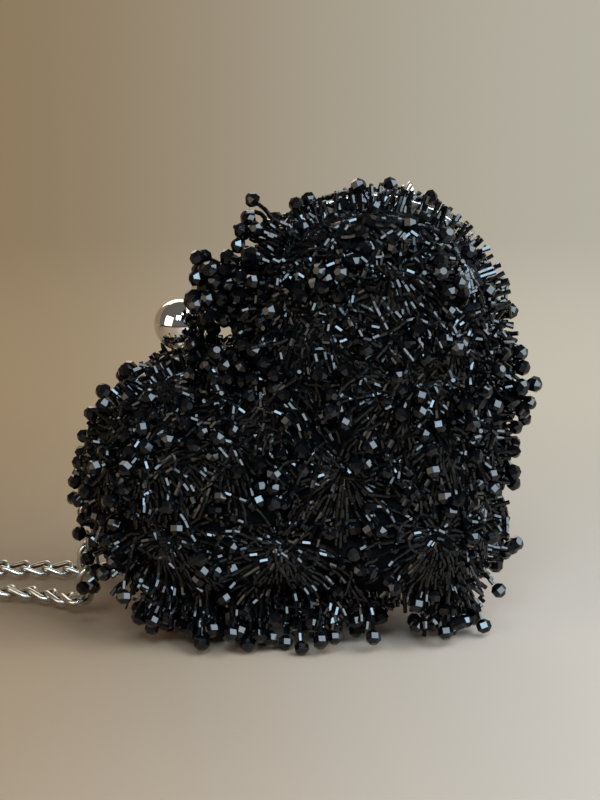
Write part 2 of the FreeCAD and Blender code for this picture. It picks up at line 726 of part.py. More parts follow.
def lobe_point(hand, radius, level):
    """World point and outward direction on the frame at a chain ear's angle."""
    angle = math.radians(size("ear_angle"))
    outward = Vector(hand * math.cos(angle), 0, math.sin(angle))
    local = Vector(hand * size("lobe_offset"), level, 0) + outward * radius
    return LEAN.multVec(local), LEAN.Rotation.multVec(outward)


def chain_eye(hand):
    """Top of a chain ear's loop, where its first ring hangs."""
    return lobe_point(hand, rail_outer + size("ear_leg") + size("ear_bend"), size("ear_level"))[0]


def chain_ear(label, hand):
    """Half loop of wire soldered on the rear rail, standing out from the frame."""
    leg = size("ear_leg")
    foot, outward = lobe_point(hand, rail_outer, size("ear_level"))
    loop = half_bend(size("ear_bend"), size("ear_wire"))
    loop.translate(Vector(0, 0, leg))
    legs = []
    for way in (-1, 1):
        start = Vector(way * size("ear_bend"), 0, 0)
        legs.append(Part.makeCylinder(size("ear_wire") / 2, leg, start, Vector(0, 0, 1)))
    placed(label, turned(loop.multiFuse(legs), outward, Vector(0, 1, 0).cross(outward), foot))


def arc_route(points):
    """Straight runs joined by tangent arcs, each as large as its two runs allow."""
    corners = [Vector(*p) for p in points]
    spans = []
    last = corners[0]
    for before, corner, after in zip(corners, corners[1:], corners[2:]):
        come = corner - before
        go = after - corner
        turn = come.getAngle(go)
        reach = 0.45 * min(come.Length, go.Length)
        enter = corner - come.normalize() * reach
        leave = corner + go.normalize() * reach
        radius = reach / math.tan(turn / 2)
        centre = corner + (enter - corner + leave - corner).normalize() * (radius / math.cos(turn / 2))
        spans.append(("run", last, enter, (enter - last).Length))
        spans.append(("bend", enter, leave, radius * turn, centre, turn))
        last = leave
    spans.append(("run", last, corners[-1], (corners[-1] - last).Length))
    return spans


def on_route(spans, distance):
    """Point and direction at a distance along the route."""
    for span in spans:
        if distance <= span[3] or span is spans[-1]:
            break
        distance -= span[3]
    if span[0] == "run":
        direction = (span[2] - span[1]).normalize()
        return span[1] + direction * distance, direction
    spoke = span[1] - span[4]
    axis = spoke.cross(span[2] - span[4]).normalize()
    turn = Rotation(axis, math.degrees(span[5] * distance / span[3]))
    spoke = turn.multVec(spoke)
    return span[4] + spoke, axis.cross(spoke).normalize()


# Purse halves: padded panels, linings and bead layers
soft_dish("rear_panel", True, "sizes.dome_radius", "sizes.dome_depth", "sizes.dome_edge", "sizes.dome_tip",
          "sizes.panel_wall", hem=True)
INSIDE = " - sizes.panel_wall - sizes.soft_gap"
LINING = ["sizes.%s%s" % (name, INSIDE) for name in ("dome_radius", "dome_depth", "dome_edge", "dome_tip")]
soft_dish("rear_lining", True, *LINING, "sizes.lining_wall")
bead_layer("rear_fringe", True)
for zone in ("flap", "fold", "base"):
    soft_dish("front_panel_" + zone, False, "sizes.dome_radius", "sizes.dome_depth", "sizes.dome_edge",
              "sizes.dome_tip", "sizes.panel_wall", zone, hem=True)
    soft_dish("front_lining_" + zone, False, *LINING, "sizes.lining_wall", zone)
    bead_layer("front_fringe_" + zone, False, zone)

# Frame, clasp and hinge
for name, rear in (("rear", True), ("front", False)):
    clasp(name, rear)
    packing(name + "_packing_cord", rear)
rivet("left_hinge_rivet", -1)
rivet("right_hinge_rivet", 1)

# Chain ears, rings and the curb chain's run
JUMP_RING = wire_ring(size("jump_half_width"), size("jump_length"), size("jump_wire"))
ROUND_RING = wire_ring(size("ring_bend"), 2 * size("ring_bend"), size("ring_wire"))
PLAY = 0.15
chain_ear("left_chain_ear", -1)
chain_ear("right_chain_ear", 1)
eye = chain_eye(-1)
down = Vector(0, 0, -1)
jump_top = eye - down * ((size("ear_wire") + size("jump_wire")) / 2 + PLAY)
jump_foot = jump_top + down * size("jump_length")
placed("left_jump_ring", turned(JUMP_RING, down, Vector(-0.12, 1, 0), (jump_top + jump_foot) * 0.5))
ring_top = jump_foot - down * ((size("jump_wire") + size("ring_wire")) / 2 + PLAY)
ring_foot = ring_top + down * 2 * size("ring_bend")
placed("left_round_ring", turned(ROUND_RING, down, Vector(1, 0.36, 0), (ring_top + ring_foot) * 0.5))
link_half = (size("link_length") - size("link_wire")) / 2
hook = (size("ring_wire") + size("link_wire")) / 2 + PLAY
chain_start = ring_foot - down * hook + down * link_half

leg_point, leg_out = lobe_point(1, rail_outer + size("ear_leg"), size("ear_level") + size("ear_bend"))
back = Vector(0, 1, 0)
jump_near = leg_point - back * ((size("ear_wire") + size("jump_wire")) / 2 + PLAY)
jump_far = jump_near + back * size("jump_length")
placed("right_jump_ring", turned(JUMP_RING, back, leg_out, (jump_near + jump_far) * 0.5))
fall = Vector(0, 0.9, -0.44).normalize()
ring_near = jump_far - fall * ((size("jump_wire") + size("ring_wire")) / 2 + 2 * PLAY)
ring_far = ring_near + fall * 2 * size("ring_bend")
placed("right_round_ring", turned(ROUND_RING, fall, Vector(0.95, -0.14, -0.28), (ring_near + ring_far) * 0.5))
chain_end = ring_far - fall * hook + fall * link_half

FLOOR_LEVEL = 4.4
FIRST_RUN = 9.0
chain_turn = chain_end + fall * FIRST_RUN
ROUTE = [
    (chain_start.x, chain_start.y, chain_start.z),
    (chain_start.x, chain_start.y, chain_start.z - FIRST_RUN),
    (-77.0, 9.5, 7.0),
    (-84.5, 18.5, FLOOR_LEVEL),
    (-97.0, 26.0, FLOOR_LEVEL),
    (-118.0, 29.0, FLOOR_LEVEL),
    (-142.0, 29.0, FLOOR_LEVEL),
    (-160.0, 34.0, FLOOR_LEVEL),
    (-166.0, 46.0, FLOOR_LEVEL),
    (-156.0, 57.0, FLOOR_LEVEL),
    (-136.0, 60.0, FLOOR_LEVEL),
    (-108.0, 57.5, FLOOR_LEVEL),
    (-74.0, 57.0, FLOOR_LEVEL),
    (-36.0, 54.0, FLOOR_LEVEL),
    (0.0, 53.5, FLOOR_LEVEL),
    (25.0, 50.0, FLOOR_LEVEL),
    (37.0, 47.0, 10.0),
    (41.0, 45.5, 26.0),
    (42.0, 44.0, 56.0),
    (42.4, 43.6, 92.0),
    (42.4, 43.0, 120.0),
    (42.5, 40.0, 136.0),
    (chain_turn.x, chain_turn.y, chain_turn.z),
    (chain_end.x, chain_end.y, chain_end.z),
]
LINK = wire_ring((size("link_width") - size("link_wire")) / 2, size("link_length") - size("link_wire"),
                 size("link_wire"))
route = arc_route(ROUTE)
route_length = sum(span[3] for span in route)
pitch_wanted = size("link_length") - 2 * size("link_wire") - size("link_play")
link_count = int(round(route_length / pitch_wanted)) + 1
pitch = route_length / (link_count - 1)
smallest = min(span[3] / span[5] for span in route if span[0] == "bend")
print("chain length %.1f, links %d" % (route_length, link_count))
print("pitch %.3f, least bend %.1f" % (pitch, smallest))
CHAIN_NODES = (
    ("chain_left_drop", 0.0, 0.075),
    ("chain_front_run", 0.075, 0.16),
    ("chain_loop", 0.16, 0.36),
    ("chain_rear_run", 0.36, 0.66),
    ("chain_riser", 0.66, 1.01),
)
groups = {name: [] for name, first, last in CHAIN_NODES}
upright = Vector(0, -0.15, 1)
for number in range(link_count):
    centre, direction = on_route(route, number * pitch)
    normal = (upright - direction * upright.dot(direction)).normalize()
    roll = Rotation(direction, 45 if number % 2 else -45)
    link = turned(LINK, direction, roll.multVec(normal), centre)
    share = number / (link_count - 1)
    name = [n for n, first, last in CHAIN_NODES if first <= share < last][0]
    groups[name].append(link)
for name, first, last in CHAIN_NODES:
    placed(name, Part.makeCompound(groups[name]))

# Loose corner tassel that hangs under the rounded tip
keep_out = new_body("tip_room")
finished.remove(keep_out)
room = new_sketch(keep_out, "XZ_Plane", "-2 * " + FRINGE_DEPTH)
heart(room, sheet_value(FRINGE_RADIUS) + size("soft_gap"), FRINGE_RADIUS + " + sizes.soft_gap",
      size("fringe_tip") + size("soft_gap"), "sizes.fringe_tip + sizes.soft_gap", True)
pad(keep_out, room, "4 * " + FRINGE_DEPTH, False)
tassel = doc.addObject("Part::Cone", "tassel_blank")
tassel.setExpression("Radius1", "sizes.tassel_foot")
tassel.setExpression("Radius2", "sizes.tassel_top")
tassel.setExpression("Height", "sizes.tassel_height")
tassel.Placement = Placement(Vector(size("tassel_x"), size("tassel_y"), 0), Rotation())
cut("tip_tassel", tassel, keep_out)

doc.recompute()
os.makedirs("parts", exist_ok=True)
for item in doc.Objects:
    if "Invalid" in item.State or "Error" in item.State:
        raise RuntimeError("%s did not build: %s" % (item.Label, item.State))
for item in finished:
    shape = item.Shape
    if shape.isNull() or not shape.isValid():
        raise RuntimeError("%s has no valid shape" % item.Label)
    box = shape.optimalBoundingBox(False)
    reach = (box.XMin, box.XMax, box.YMin, box.YMax, box.ZMin, box.ZMax)
    print(item.Label, len(shape.Solids), round(shape.Volume, 1))
    print("x %.1f %.1f y %.1f %.1f z %.1f %.1f" % reach)
    shape.exportStep("parts/%s.step" % item.Label)
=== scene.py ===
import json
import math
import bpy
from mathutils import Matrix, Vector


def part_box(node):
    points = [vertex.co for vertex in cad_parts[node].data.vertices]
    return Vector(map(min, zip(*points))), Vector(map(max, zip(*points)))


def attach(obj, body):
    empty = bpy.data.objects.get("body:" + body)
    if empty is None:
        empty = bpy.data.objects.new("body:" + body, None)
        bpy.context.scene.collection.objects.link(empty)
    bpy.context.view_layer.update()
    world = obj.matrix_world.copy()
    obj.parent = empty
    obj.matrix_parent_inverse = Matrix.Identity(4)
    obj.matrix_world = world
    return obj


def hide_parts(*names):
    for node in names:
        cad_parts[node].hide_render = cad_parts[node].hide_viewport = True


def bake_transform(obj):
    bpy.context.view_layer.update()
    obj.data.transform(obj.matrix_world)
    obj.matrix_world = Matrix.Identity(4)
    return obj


bl_info = {
    "name": "Heart Purse",
    "version": (1, 0, 0),
    "blender": (4, 5, 0),
    "location": "3D View > Sidebar > Purse",
    "description": "Dresses the heart purse frame with its bead fringe, cloth, chain and finishes",
    "category": "Object",
}

from collections import namedtuple

import bmesh
import bpy
import numpy as np
from bpy.props import FloatProperty, FloatVectorProperty, IntProperty, PointerProperty
from bpy.types import Operator, Panel, PropertyGroup

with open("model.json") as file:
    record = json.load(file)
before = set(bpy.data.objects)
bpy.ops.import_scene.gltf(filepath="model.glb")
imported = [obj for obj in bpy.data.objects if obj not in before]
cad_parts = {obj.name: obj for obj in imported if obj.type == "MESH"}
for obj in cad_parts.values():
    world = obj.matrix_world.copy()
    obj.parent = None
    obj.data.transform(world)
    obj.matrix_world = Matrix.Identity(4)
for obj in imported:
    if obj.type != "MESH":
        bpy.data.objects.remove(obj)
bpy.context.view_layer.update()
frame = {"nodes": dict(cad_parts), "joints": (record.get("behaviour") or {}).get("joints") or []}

# The bag's own frame: ALONG the hinge line, BACK away from the viewer, RISE up to the notch
HINGE = frame["joints"][0]
ORIGIN = np.array(HINGE["pos_m"], float)
ALONG = np.array(HINGE["axis"], float) / np.linalg.norm(HINGE["axis"])
BACK = np.array((0.0, 1.0, 0.0))
RISE = np.cross(ALONG, BACK)
DIAGONAL = math.sqrt(0.5)
MM = 0.001

# The two sides of the bag, as the sign of their way along BACK
FRONT = -1.0
REAR = 1.0
SIDES = (("front", FRONT), ("rear", REAR))

# How slopes are felt out, and in how many rounds a point is moved onto the panel
SLOPE_STEP = 0.2 * MM
LEAST_SLOPE = 1e-9
PANEL_ROUNDS = 24


def length_size(title, about, value):
    return FloatProperty(name=title, description=about, default=value, unit="LENGTH")


def share_size(title, about, value):
    return FloatProperty(name=title, description=about, default=value, subtype="FACTOR", min=0.0, max=1.0)


def count_size(title, about, value, least):
    return IntProperty(name=title, description=about, default=value, min=least)


def colour_choice(title, about, *value):
    return FloatVectorProperty(name=title, description=about, default=(*value, 1.0), subtype="COLOR", size=4)


class HeartSizes(PropertyGroup):
    """Outline of the padded heart and of the frame that carries it."""

    lobe_offset: length_size("Lobe Offset", "From the middle of the hinge line to a lobe's centre", 0.0389)
    notch_reach: length_size("Notch Reach", "Lobe and notch radius added up, in every outline", 0.0515)
    panel_radius: length_size("Panel Radius", "Lobe radius of the padded panel", 0.040)
    panel_tip: length_size("Panel Tip", "Tip radius of the padded panel", 0.020)
    panel_depth: length_size("Panel Depth", "How far a panel bulges from the middle plane", 0.026)
    panel_edge: length_size("Panel Edge", "Radius of the panel's rounded edge", 0.018)
    hem_radius: length_size("Hem Radius", "Lobe radius of the hem that the channel holds", 0.043)
    frame_radius: length_size("Frame Radius", "Outer lobe radius of the metal frame", 0.0465)
    frame_depth: length_size("Frame Depth", "Depth of one half of the frame", 0.0062)
    fold_start: length_size("Fold Start", "Height on the front where the crease begins", -0.026)
    fold_end: length_size("Fold End", "Height on the front where the flap begins", 0.012)


class BeadSizes(PropertyGroup):
    """Beads and strands of the fringe."""

    bugle_length: length_size("Bugle Length", "Length of a short cut tube bead", 0.0026)
    bugle_width: length_size("Bugle Width", "Width of a short cut tube bead", 0.0016)
    pitch: length_size("Pitch", "Distance between two tube beads on a thread", 0.00275)
    drop_width: length_size("Drop Width", "Width of the faceted bead at a strand's end", 0.0057)
    face_drops: share_size("Face Drops", "Share of a face flower's strands that end in a faceted bead", 0.2)
    rim_drops: share_size("Rim Drops", "Share of a rim flower's strands that end in a faceted bead", 0.25)
    thin_drops: share_size("Thin Drops", "Share of a thin flower's strands that end in a faceted bead", 0.1)
    face_strands: count_size("Face Strands", "Strands in a flower on the face", 50, 1)
    rim_strands: count_size("Rim Strands", "Strands in a flower on the rim", 24, 1)
    loop_count: count_size("Loops", "Closed loops in a flower on the face", 6, 0)
    loop_beads: count_size("Loop Beads", "Tube beads on a loop", 16, 6)
    settle_steps: count_size("Settle Steps", "Steps in which the strands settle under their weight", 45, 0)
    seed: count_size("Seed", "Start of every random choice", 7, 0)


class FinishColours(PropertyGroup):
    """Colours of the finishes."""

    bead_black: colour_choice("Bead Black", "Glass of the plainest beads", 0.0015, 0.0015, 0.002)
    bead_smoke: colour_choice("Bead Smoke", "Glass of the dullest beads", 0.0010, 0.0009, 0.0009)
    cloth: colour_choice("Cloth", "Padded cloth", 0.004, 0.004, 0.005)
    satin: colour_choice("Satin", "Lining", 0.024, 0.022, 0.025)
    paper: colour_choice("Paper", "Packing cord", 0.50, 0.44, 0.34)
    chrome: colour_choice("Chrome", "Clasp balls", 0.86, 0.85, 0.84)
    nickel: colour_choice("Nickel", "Frame", 0.66, 0.64, 0.60)
    silver: colour_choice("Silver", "Chain", 0.66, 0.63, 0.57)
    # Darker colour for the marked inner sides of the chain's links
    inner_side_dark: colour_choice("Tarnish", "Inner sides of the links", 0.10, 0.085, 0.065)


class StageSizes(PropertyGroup):
    """Camera and backdrop."""

    elevation: FloatProperty(
        name="Elevation", description="Camera height above the horizon", default=math.radians(11.0),
        subtype="ANGLE")
    distance: length_size("Distance", "Camera distance from the purse's middle", 0.60)
    view_width: length_size("View Width", "Width of the picture at the purse's middle", 0.215)
    target: FloatVectorProperty(
        name="Target", description="Point in the middle of the picture", subtype="XYZ",
        default=(0.0040, 0.0, 0.0845))
    # Floor in front: its colour is painted darker on the left as painted shade and lighter on the right as
    # painted light
    near_left_shaded: colour_choice("Near Left", "Floor in front, on the left", 0.208, 0.130, 0.074)
    near_right_lit: colour_choice("Near Right", "Floor in front, on the right", 0.330, 0.258, 0.207)
    # Backdrop far off: a glow painted darker on the left as painted shade and lighter on the right as
    # painted light; Wall Shade paints it darker far behind
    far_left_shaded: colour_choice("Far Left", "Backdrop on the left", 0.325, 0.237, 0.138)
    far_right_lit: colour_choice("Far Right", "Backdrop on the right", 0.560, 0.530, 0.440)
    wall_shade: share_size("Wall Shade", "How much darker the backdrop is far behind the purse", 0.18)


def heart():
    return bpy.context.scene.purse_heart


def beads():
    return bpy.context.scene.purse_beads


def colours():
    return bpy.context.scene.purse_colours


def stage_sizes():
    return bpy.context.scene.purse_stage


# Shapes of the bag
def to_own(points):
    """Along, back and rise of world points."""
    away = points - ORIGIN
    return away @ ALONG, away @ BACK, away @ RISE


def to_world(along, back, rise):
    """World points from along, back and rise."""
    flat = ORIGIN + np.multiply.outer(along, ALONG) + np.multiply.outer(back, BACK)
    return flat + np.multiply.outer(rise, RISE)


def heart_distance(along, rise, radius, tip):
    """Signed distance to a heart outline in the bag's own plane."""
    offset = heart().lobe_offset
    reach = heart().notch_reach
    across = np.abs(along) - offset
    lobe = np.hypot(across, rise) - radius
    side = (across - rise) * DIAGONAL - radius
    run = -(across + rise) * DIAGONAL
    tip_rise = (tip - radius) / DIAGONAL - offset
    tip_run = (offset - tip_rise) * DIAGONAL
    point = np.hypot(along, rise - tip_rise) - tip
    low = np.where(run > tip_run, point, side)
    notch_rise = math.sqrt(reach ** 2 - offset ** 2)
    hollow = reach - radius - np.hypot(along, rise - notch_rise)
    between = offset * (rise - notch_rise) + notch_rise * np.abs(along) < 0
    return np.where(between, np.maximum(hollow, low), np.where(run < 0, lobe, low))


def slab_distance(points, radius, tip, depth, edge):
    """Signed distance to a heart of that depth with its edge rounded."""
    along, back, rise = to_own(points)
    flat = heart_distance(along, rise, radius - edge, tip - edge)
    thick = np.abs(back) - (depth - edge)
    outside = np.hypot(np.maximum(flat, 0), np.maximum(thick, 0))
    return outside + np.minimum(np.maximum(flat, thick), 0) - edge


def panel_distance(points):
    """Distance to the padded panels."""
    sizes = heart()
    return slab_distance(points, sizes.panel_radius, sizes.panel_tip, sizes.panel_depth, sizes.panel_edge)


def frame_distance(points):
    """Distance to the shut metal frame."""
    sizes = heart()
    tip = sizes.panel_tip + sizes.frame_radius - sizes.panel_radius
    return slab_distance(points, sizes.frame_radius, tip, sizes.frame_depth, 0.0)


def clasp_balls():
    """Centre and radius of both clasp balls, from the frame."""
    balls = []
    for name in ("front_ball", "rear_ball"):
        low, high = (np.array(corner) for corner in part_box(name))
        balls.append(((low + high) / 2, (high[0] - low[0]) / 2))
    return balls


def core_distance(points):
    """Distance to everything that the fringe lies on."""
    nearest = np.minimum(panel_distance(points), frame_distance(points))
    for centre, radius in clasp_balls():
        nearest = np.minimum(nearest, np.linalg.norm(points - centre, axis=-1) - radius)
    return nearest


def slope(distance, points):
    """Direction in which a distance grows fastest."""
    here = distance(points)
    found = np.zeros_like(points)
    for axis in range(3):
        moved = points.copy()
        moved[..., axis] += SLOPE_STEP
        found[..., axis] = distance(moved) - here
    return found / np.maximum(np.linalg.norm(found, axis=-1, keepdims=True), LEAST_SLOPE)


def onto_panel(points):
    """The nearest points of the padded panel."""
    for turn in range(PANEL_ROUNDS):
        points = points - panel_distance(points)[:, None] * slope(panel_distance, points)
    return points


# Node trees
def open_socket(sockets, key):
    """A socket by number, or the one in use among those of that name."""
    if isinstance(key, int):
        return sockets[key]
    return [socket for socket in sockets if socket.name == key and socket.enabled][0]


class Wire:
    """A socket in a sum: each operator adds a Math node to its tree."""

    def __init__(self, web, socket):
        self.web = web
        self.socket = socket

    def reckon(self, operation, first, second):
        return self.web.add("ShaderNodeMath", {"operation": operation}, {0: first, 1: second})

    def __add__(self, other):
        return self.reckon("ADD", self, other)

    def __radd__(self, other):
        return self.reckon("ADD", other, self)

    def __rsub__(self, other):
        return self.reckon("SUBTRACT", other, self)

    def __mul__(self, other):
        return self.reckon("MULTIPLY", self, other)

    def __truediv__(self, other):
        return self.reckon("DIVIDE", self, other)

    def __pow__(self, other):
        return self.reckon("POWER", self, other)


class Web:
    """A node tree that is filled node by node."""

    def __init__(self, tree):
        self.tree = tree

    def add(self, kind, settings=None, values=None, out=0):
        """Adds a node, sets it up, feeds its sockets and gives one of its outputs."""
        node = self.tree.nodes.new(kind)
        for name, setting in (settings or {}).items():
            setattr(node, name, setting)
        for key, value in (values or {}).items():
            socket = open_socket(node.inputs, key)
            if isinstance(value, Wire):
                self.tree.links.new(value.socket, socket)
            else:
                socket.default_value = value
        return Wire(self, open_socket(node.outputs, out))


def new_tree(name, inputs, output):
    """A geometry tree with named inputs: its web and the wires of its inputs."""
    tree = bpy.data.node_groups.new(name, "GeometryNodeTree")
    for title, kind in inputs.items():
        tree.interface.new_socket(title, in_out="INPUT", socket_type="NodeSocket" + kind)
    tree.interface.new_socket(output, in_out="OUTPUT", socket_type="NodeSocketGeometry")
    web = Web(tree)
    source = tree.nodes.new("NodeGroupInput")
    return web, {title: Wire(web, source.outputs[title]) for title in inputs}


def close_tree(web, instances, material, smooth):
    """Ends a tree: its instances become real geometry with one material."""
    real = web.add("GeometryNodeRealizeInstances", {}, {"Geometry": instances})
    if not smooth:
        real = web.add("GeometryNodeSetShadeSmooth", {}, {"Geometry": real, "Shade Smooth": False})
    done = web.add("GeometryNodeSetMaterial", {}, {"Geometry": real, "Material": material})
    sink = web.tree.nodes.new("NodeGroupOutput")
    web.tree.links.new(done.socket, sink.inputs[0])
    return web.tree


def new_finish(name, settings):
    """A material with a principled surface: its constants are set on the sockets."""
    material = bpy.data.materials.new(name)
    material.use_nodes = True
    web = Web(material.node_tree)
    surface = material.node_tree.nodes["Principled BSDF"]
    for key, value in settings.items():
        surface.inputs[key].default_value = value

    def feed(key, wire):
        web.tree.links.new(wire.socket, surface.inputs[key])

    return material, web, feed


def object_place(web):
    return web.add("ShaderNodeTexCoord", out="Object")


def attribute(web, name):
    return web.add("ShaderNodeAttribute", {"attribute_name": name}, {}, "Fac")


def mixed(web, share, first, second):
    values = {"Factor": share, "A": first, "B": second}
    return web.add("ShaderNodeMix", {"data_type": "RGBA"}, values, "Result")


def toned(colour, share):
    """A colour made lighter or darker."""
    return tuple(channel * share for channel in colour[:3]) + (1.0,)


def noise(web, scale, detail=2.0):
    values = {"Vector": object_place(web), "Scale": scale, "Detail": detail}
    return web.add("ShaderNodeTexNoise", {}, values)


def stripes(web, direction, scale, distortion):
    values = {"Vector": object_place(web), "Scale": scale, "Distortion": distortion}
    return web.add("ShaderNodeTexWave", {"bands_direction": direction}, values, "Fac")


def bump(web, height, strength, distance):
    values = {"Height": height, "Strength": strength, "Distance": distance}
    return web.add("ShaderNodeBump", {}, values, "Normal")


# How strongly glass bends light, and how fine each pattern is, in repeats per metre
GLASS_IOR = 1.41
FILM_SCALE = 900.0
WEAVE_SCALE = 700.0
FLOAT_SCALE = 900.0
SLUB_SCALE = 140.0
FIBRE_SCALE = 1600.0
CLOUD_SCALE = 120.0


def black_glass():
    """Opaque black glass: each bead has its own tone and polish."""
    material, web, feed = new_finish("black bead glass", {"IOR": GLASS_IOR})
    tone = attribute(web, "bead_tone")
    film = noise(web, FILM_SCALE)
    feed("Base Color", mixed(web, tone ** 2.0, colours().bead_black[:], colours().bead_smoke[:]))
    feed("Roughness", tone * 0.10 + film * 0.05 + 0.02)
    return material


def woven_cloth():
    """Matt black cloth with a fine plain weave."""
    material, web, feed = new_finish("padded black cloth", {"Specular IOR Level": 0.04})
    weave = stripes(web, "X", WEAVE_SCALE, distortion=0.4) * stripes(web, "Z", WEAVE_SCALE, distortion=0.4)
    feed("Base Color", mixed(web, weave, colours().cloth[:], toned(colours().cloth, share=2.2)))
    feed("Roughness", 0.86 - weave * 0.15)
    feed("Normal", bump(web, weave, strength=0.5, distance=0.0002))
    return material


def lining_satin():
    """Black satin: long shiny floats with faint slubs."""
    material, web, feed = new_finish("black lining satin", {"Sheen Weight": 0.35, "Sheen Roughness": 0.3})
    floats = stripes(web, "X", FLOAT_SCALE, distortion=1.2)
    slub = noise(web, SLUB_SCALE)
    feed("Base Color", mixed(web, slub, colours().satin[:], toned(colours().satin, share=1.8)))
    feed("Roughness", 0.30 + slub * 0.16)
    feed("Normal", bump(web, floats + slub * 0.5, strength=0.25, distance=0.0002))
    return material


def paper_cord():
    """Twisted kraft paper."""
    material, web, feed = new_finish("twisted paper cord", {})
    fibre = noise(web, FIBRE_SCALE, detail=4.0)
    feed("Base Color", mixed(web, fibre, toned(colours().paper, share=0.6), colours().paper[:]))
    feed("Roughness", 0.80 + fibre * 0.15)
    feed("Normal", bump(web, fibre, strength=0.6, distance=0.0001))
    return material


def plated_metal(name, colour, polish, wear, grain):
    """Plated metal: polished, with fine rubbed marks, a faint cloudy film and a darker colour where marked.
    """
    material, web, feed = new_finish(name, {"Metallic": 1.0})
    cloud = noise(web, CLOUD_SCALE, detail=3.0)
    marks = noise(web, grain, detail=6.0)
    plate = mixed(web, cloud * wear, colour[:], toned(colour, share=0.62))
    # Darker colour on the inner sides of the links, where the link mesh marks them
    feed("Base Color", mixed(web, attribute(web, "inner_side"), plate, colours().inner_side_dark[:]))
    feed("Roughness", polish + marks * polish + cloud * wear * 0.2)
    feed("Normal", bump(web, marks, strength=0.04, distance=0.00005))
    return material


# Meshes
def new_object(name, data):
    """A new object in the scene."""
    holder = bpy.data.objects.new(name, data)
    bpy.context.scene.collection.objects.link(holder)
    return holder


def mesh_object(name, mesh, material):
    """A piece from a mesh, with one material."""
    piece = new_object(name, mesh)
    mesh.materials.clear()
    mesh.materials.append(material)
    return piece


def skin(name, rows, caps=(), looped=False, round_rows=True, smooth=True):
    """A mesh over rows of points: each row is joined to the next, and some rows are closed by a face."""
    shape = bmesh.new()
    corners = [[shape.verts.new(place) for place in row] for row in rows]
    pairs = list(zip(corners, corners[1:]))
    if looped:
        pairs.append((corners[-1], corners[0]))
    for first, second in pairs:
        count = len(first)
        for number in range(count if round_rows else count - 1):
            after = (number + 1) % count
            shape.faces.new((first[number], second[number], second[after], first[after]))
    for number in caps:
        shape.faces.new(corners[number])
    if round_rows:
        bmesh.ops.recalc_face_normals(shape, faces=shape.faces)
    for face in shape.faces:
        face.smooth = smooth
    mesh = bpy.data.meshes.new(name)
    shape.to_mesh(mesh)
    shape.free()
    return mesh


def baked(piece):
    """The piece's mesh with its modifiers worked in."""
    graph = bpy.context.evaluated_depsgraph_get()
    return bpy.data.meshes.new_from_object(piece.evaluated_get(graph), depsgraph=graph)


def with_modifier(piece, kind, **settings):
    """Works one modifier into a piece's mesh."""
    modifier = piece.modifiers.new(kind.title(), kind)
    for name, value in settings.items():
        setattr(modifier, name, value)
    mesh = baked(piece)
    piece.modifiers.clear()
    piece.data = mesh


# Points on each stretch of a heart outline, rings over an edge, and the rings that close a dish
LOBE_STEPS = 56
NOTCH_STEPS = 16
SIDE_STEPS = 26
TIP_STEPS = 14
EDGE_RINGS = 12
CROWN_SHARES = (0.86, 0.7, 0.52, 0.34, 0.16)
HEART_MIDDLE = np.array((0.0, -0.012))


def heart_ring(radius, tip):
    """Points round a heart outline, the same number on each stretch for every size."""
    offset = heart().lobe_offset
    reach = heart().notch_reach
    notch_rise = math.sqrt(reach ** 2 - offset ** 2)
    turn = math.atan2(notch_rise, offset)
    corner = math.pi / 4
    tip_rise = (tip - radius) / DIAGONAL - offset

    def sweep(centre, size, first, last, count):
        angles = np.linspace(first, last, count, endpoint=False)
        return np.stack([centre[0] + size * np.cos(angles), centre[1] + size * np.sin(angles)], axis=1)

    def run(first, last, count):
        share = np.linspace(0, 1, count, endpoint=False)[:, None]
        return np.array(first) * (1 - share) + np.array(last) * share

    lobe_foot = (offset + radius * DIAGONAL, -radius * DIAGONAL)
    tip_foot = (tip * DIAGONAL, tip_rise - tip * DIAGONAL)
    return np.concatenate([
        sweep((offset, 0), radius, -corner, math.pi - turn, LOBE_STEPS),
        sweep((0, notch_rise), reach - radius, 2 * math.pi - turn, math.pi + turn, NOTCH_STEPS),
        sweep((-offset, 0), radius, turn, math.pi + corner, LOBE_STEPS),
        run((-lobe_foot[0], lobe_foot[1]), (-tip_foot[0], tip_foot[1]), SIDE_STEPS),
        sweep((0, tip_rise), tip, math.pi + corner, 2 * math.pi - corner, TIP_STEPS),
        run(tip_foot, lobe_foot, SIDE_STEPS),
    ])


def dish_mesh(name, rings, crown, way):
    """A dish from heart rings, given as outline points and their depth, closed by a crowned middle."""
    outline, depth = rings[-1]
    crowned = [(HEART_MIDDLE + (outline - HEART_MIDDLE) * share, depth + crown * (1 - share ** 2))
               for share in CROWN_SHARES]
    rows = []
    for ring, level in rings + crowned:
        rows.append(to_world(ring[:, 0], np.broadcast_to(way * level, len(ring)), ring[:, 1]))
    return skin(name, rows, caps=(-1,))


def rounded_rings(radius, tip, depth, edge):
    """Rings over a dish's wall and its rounded edge."""
    rings = []
    for angle in np.linspace(0, math.pi / 2, EDGE_RINGS):
        inset = edge * (1 - math.cos(angle))
        rings.append((heart_ring(radius - inset, tip - inset), depth - edge + edge * math.sin(angle)))
    return rings


# How deep a seam pulls the cloth in, and how far round it
SEAM_DENT = 0.0016
SEAM_REACH = 0.007


def sew_down(piece, roots):
    """Pulls the padding or the lining in where the flowers are sewn through them."""
    count = len(piece.data.vertices)
    places = np.empty(count * 3)
    piece.data.vertices.foreach_get("co", places)
    places = places.reshape(-1, 3)
    inward = -slope(panel_distance, places)
    for root in roots:
        near = np.exp(-np.sum((places - root) ** 2, axis=1) / SEAM_REACH ** 2)
        places += inward * (SEAM_DENT * near)[:, None]
    piece.data.vertices.foreach_set("co", places.ravel())
    piece.data.update()


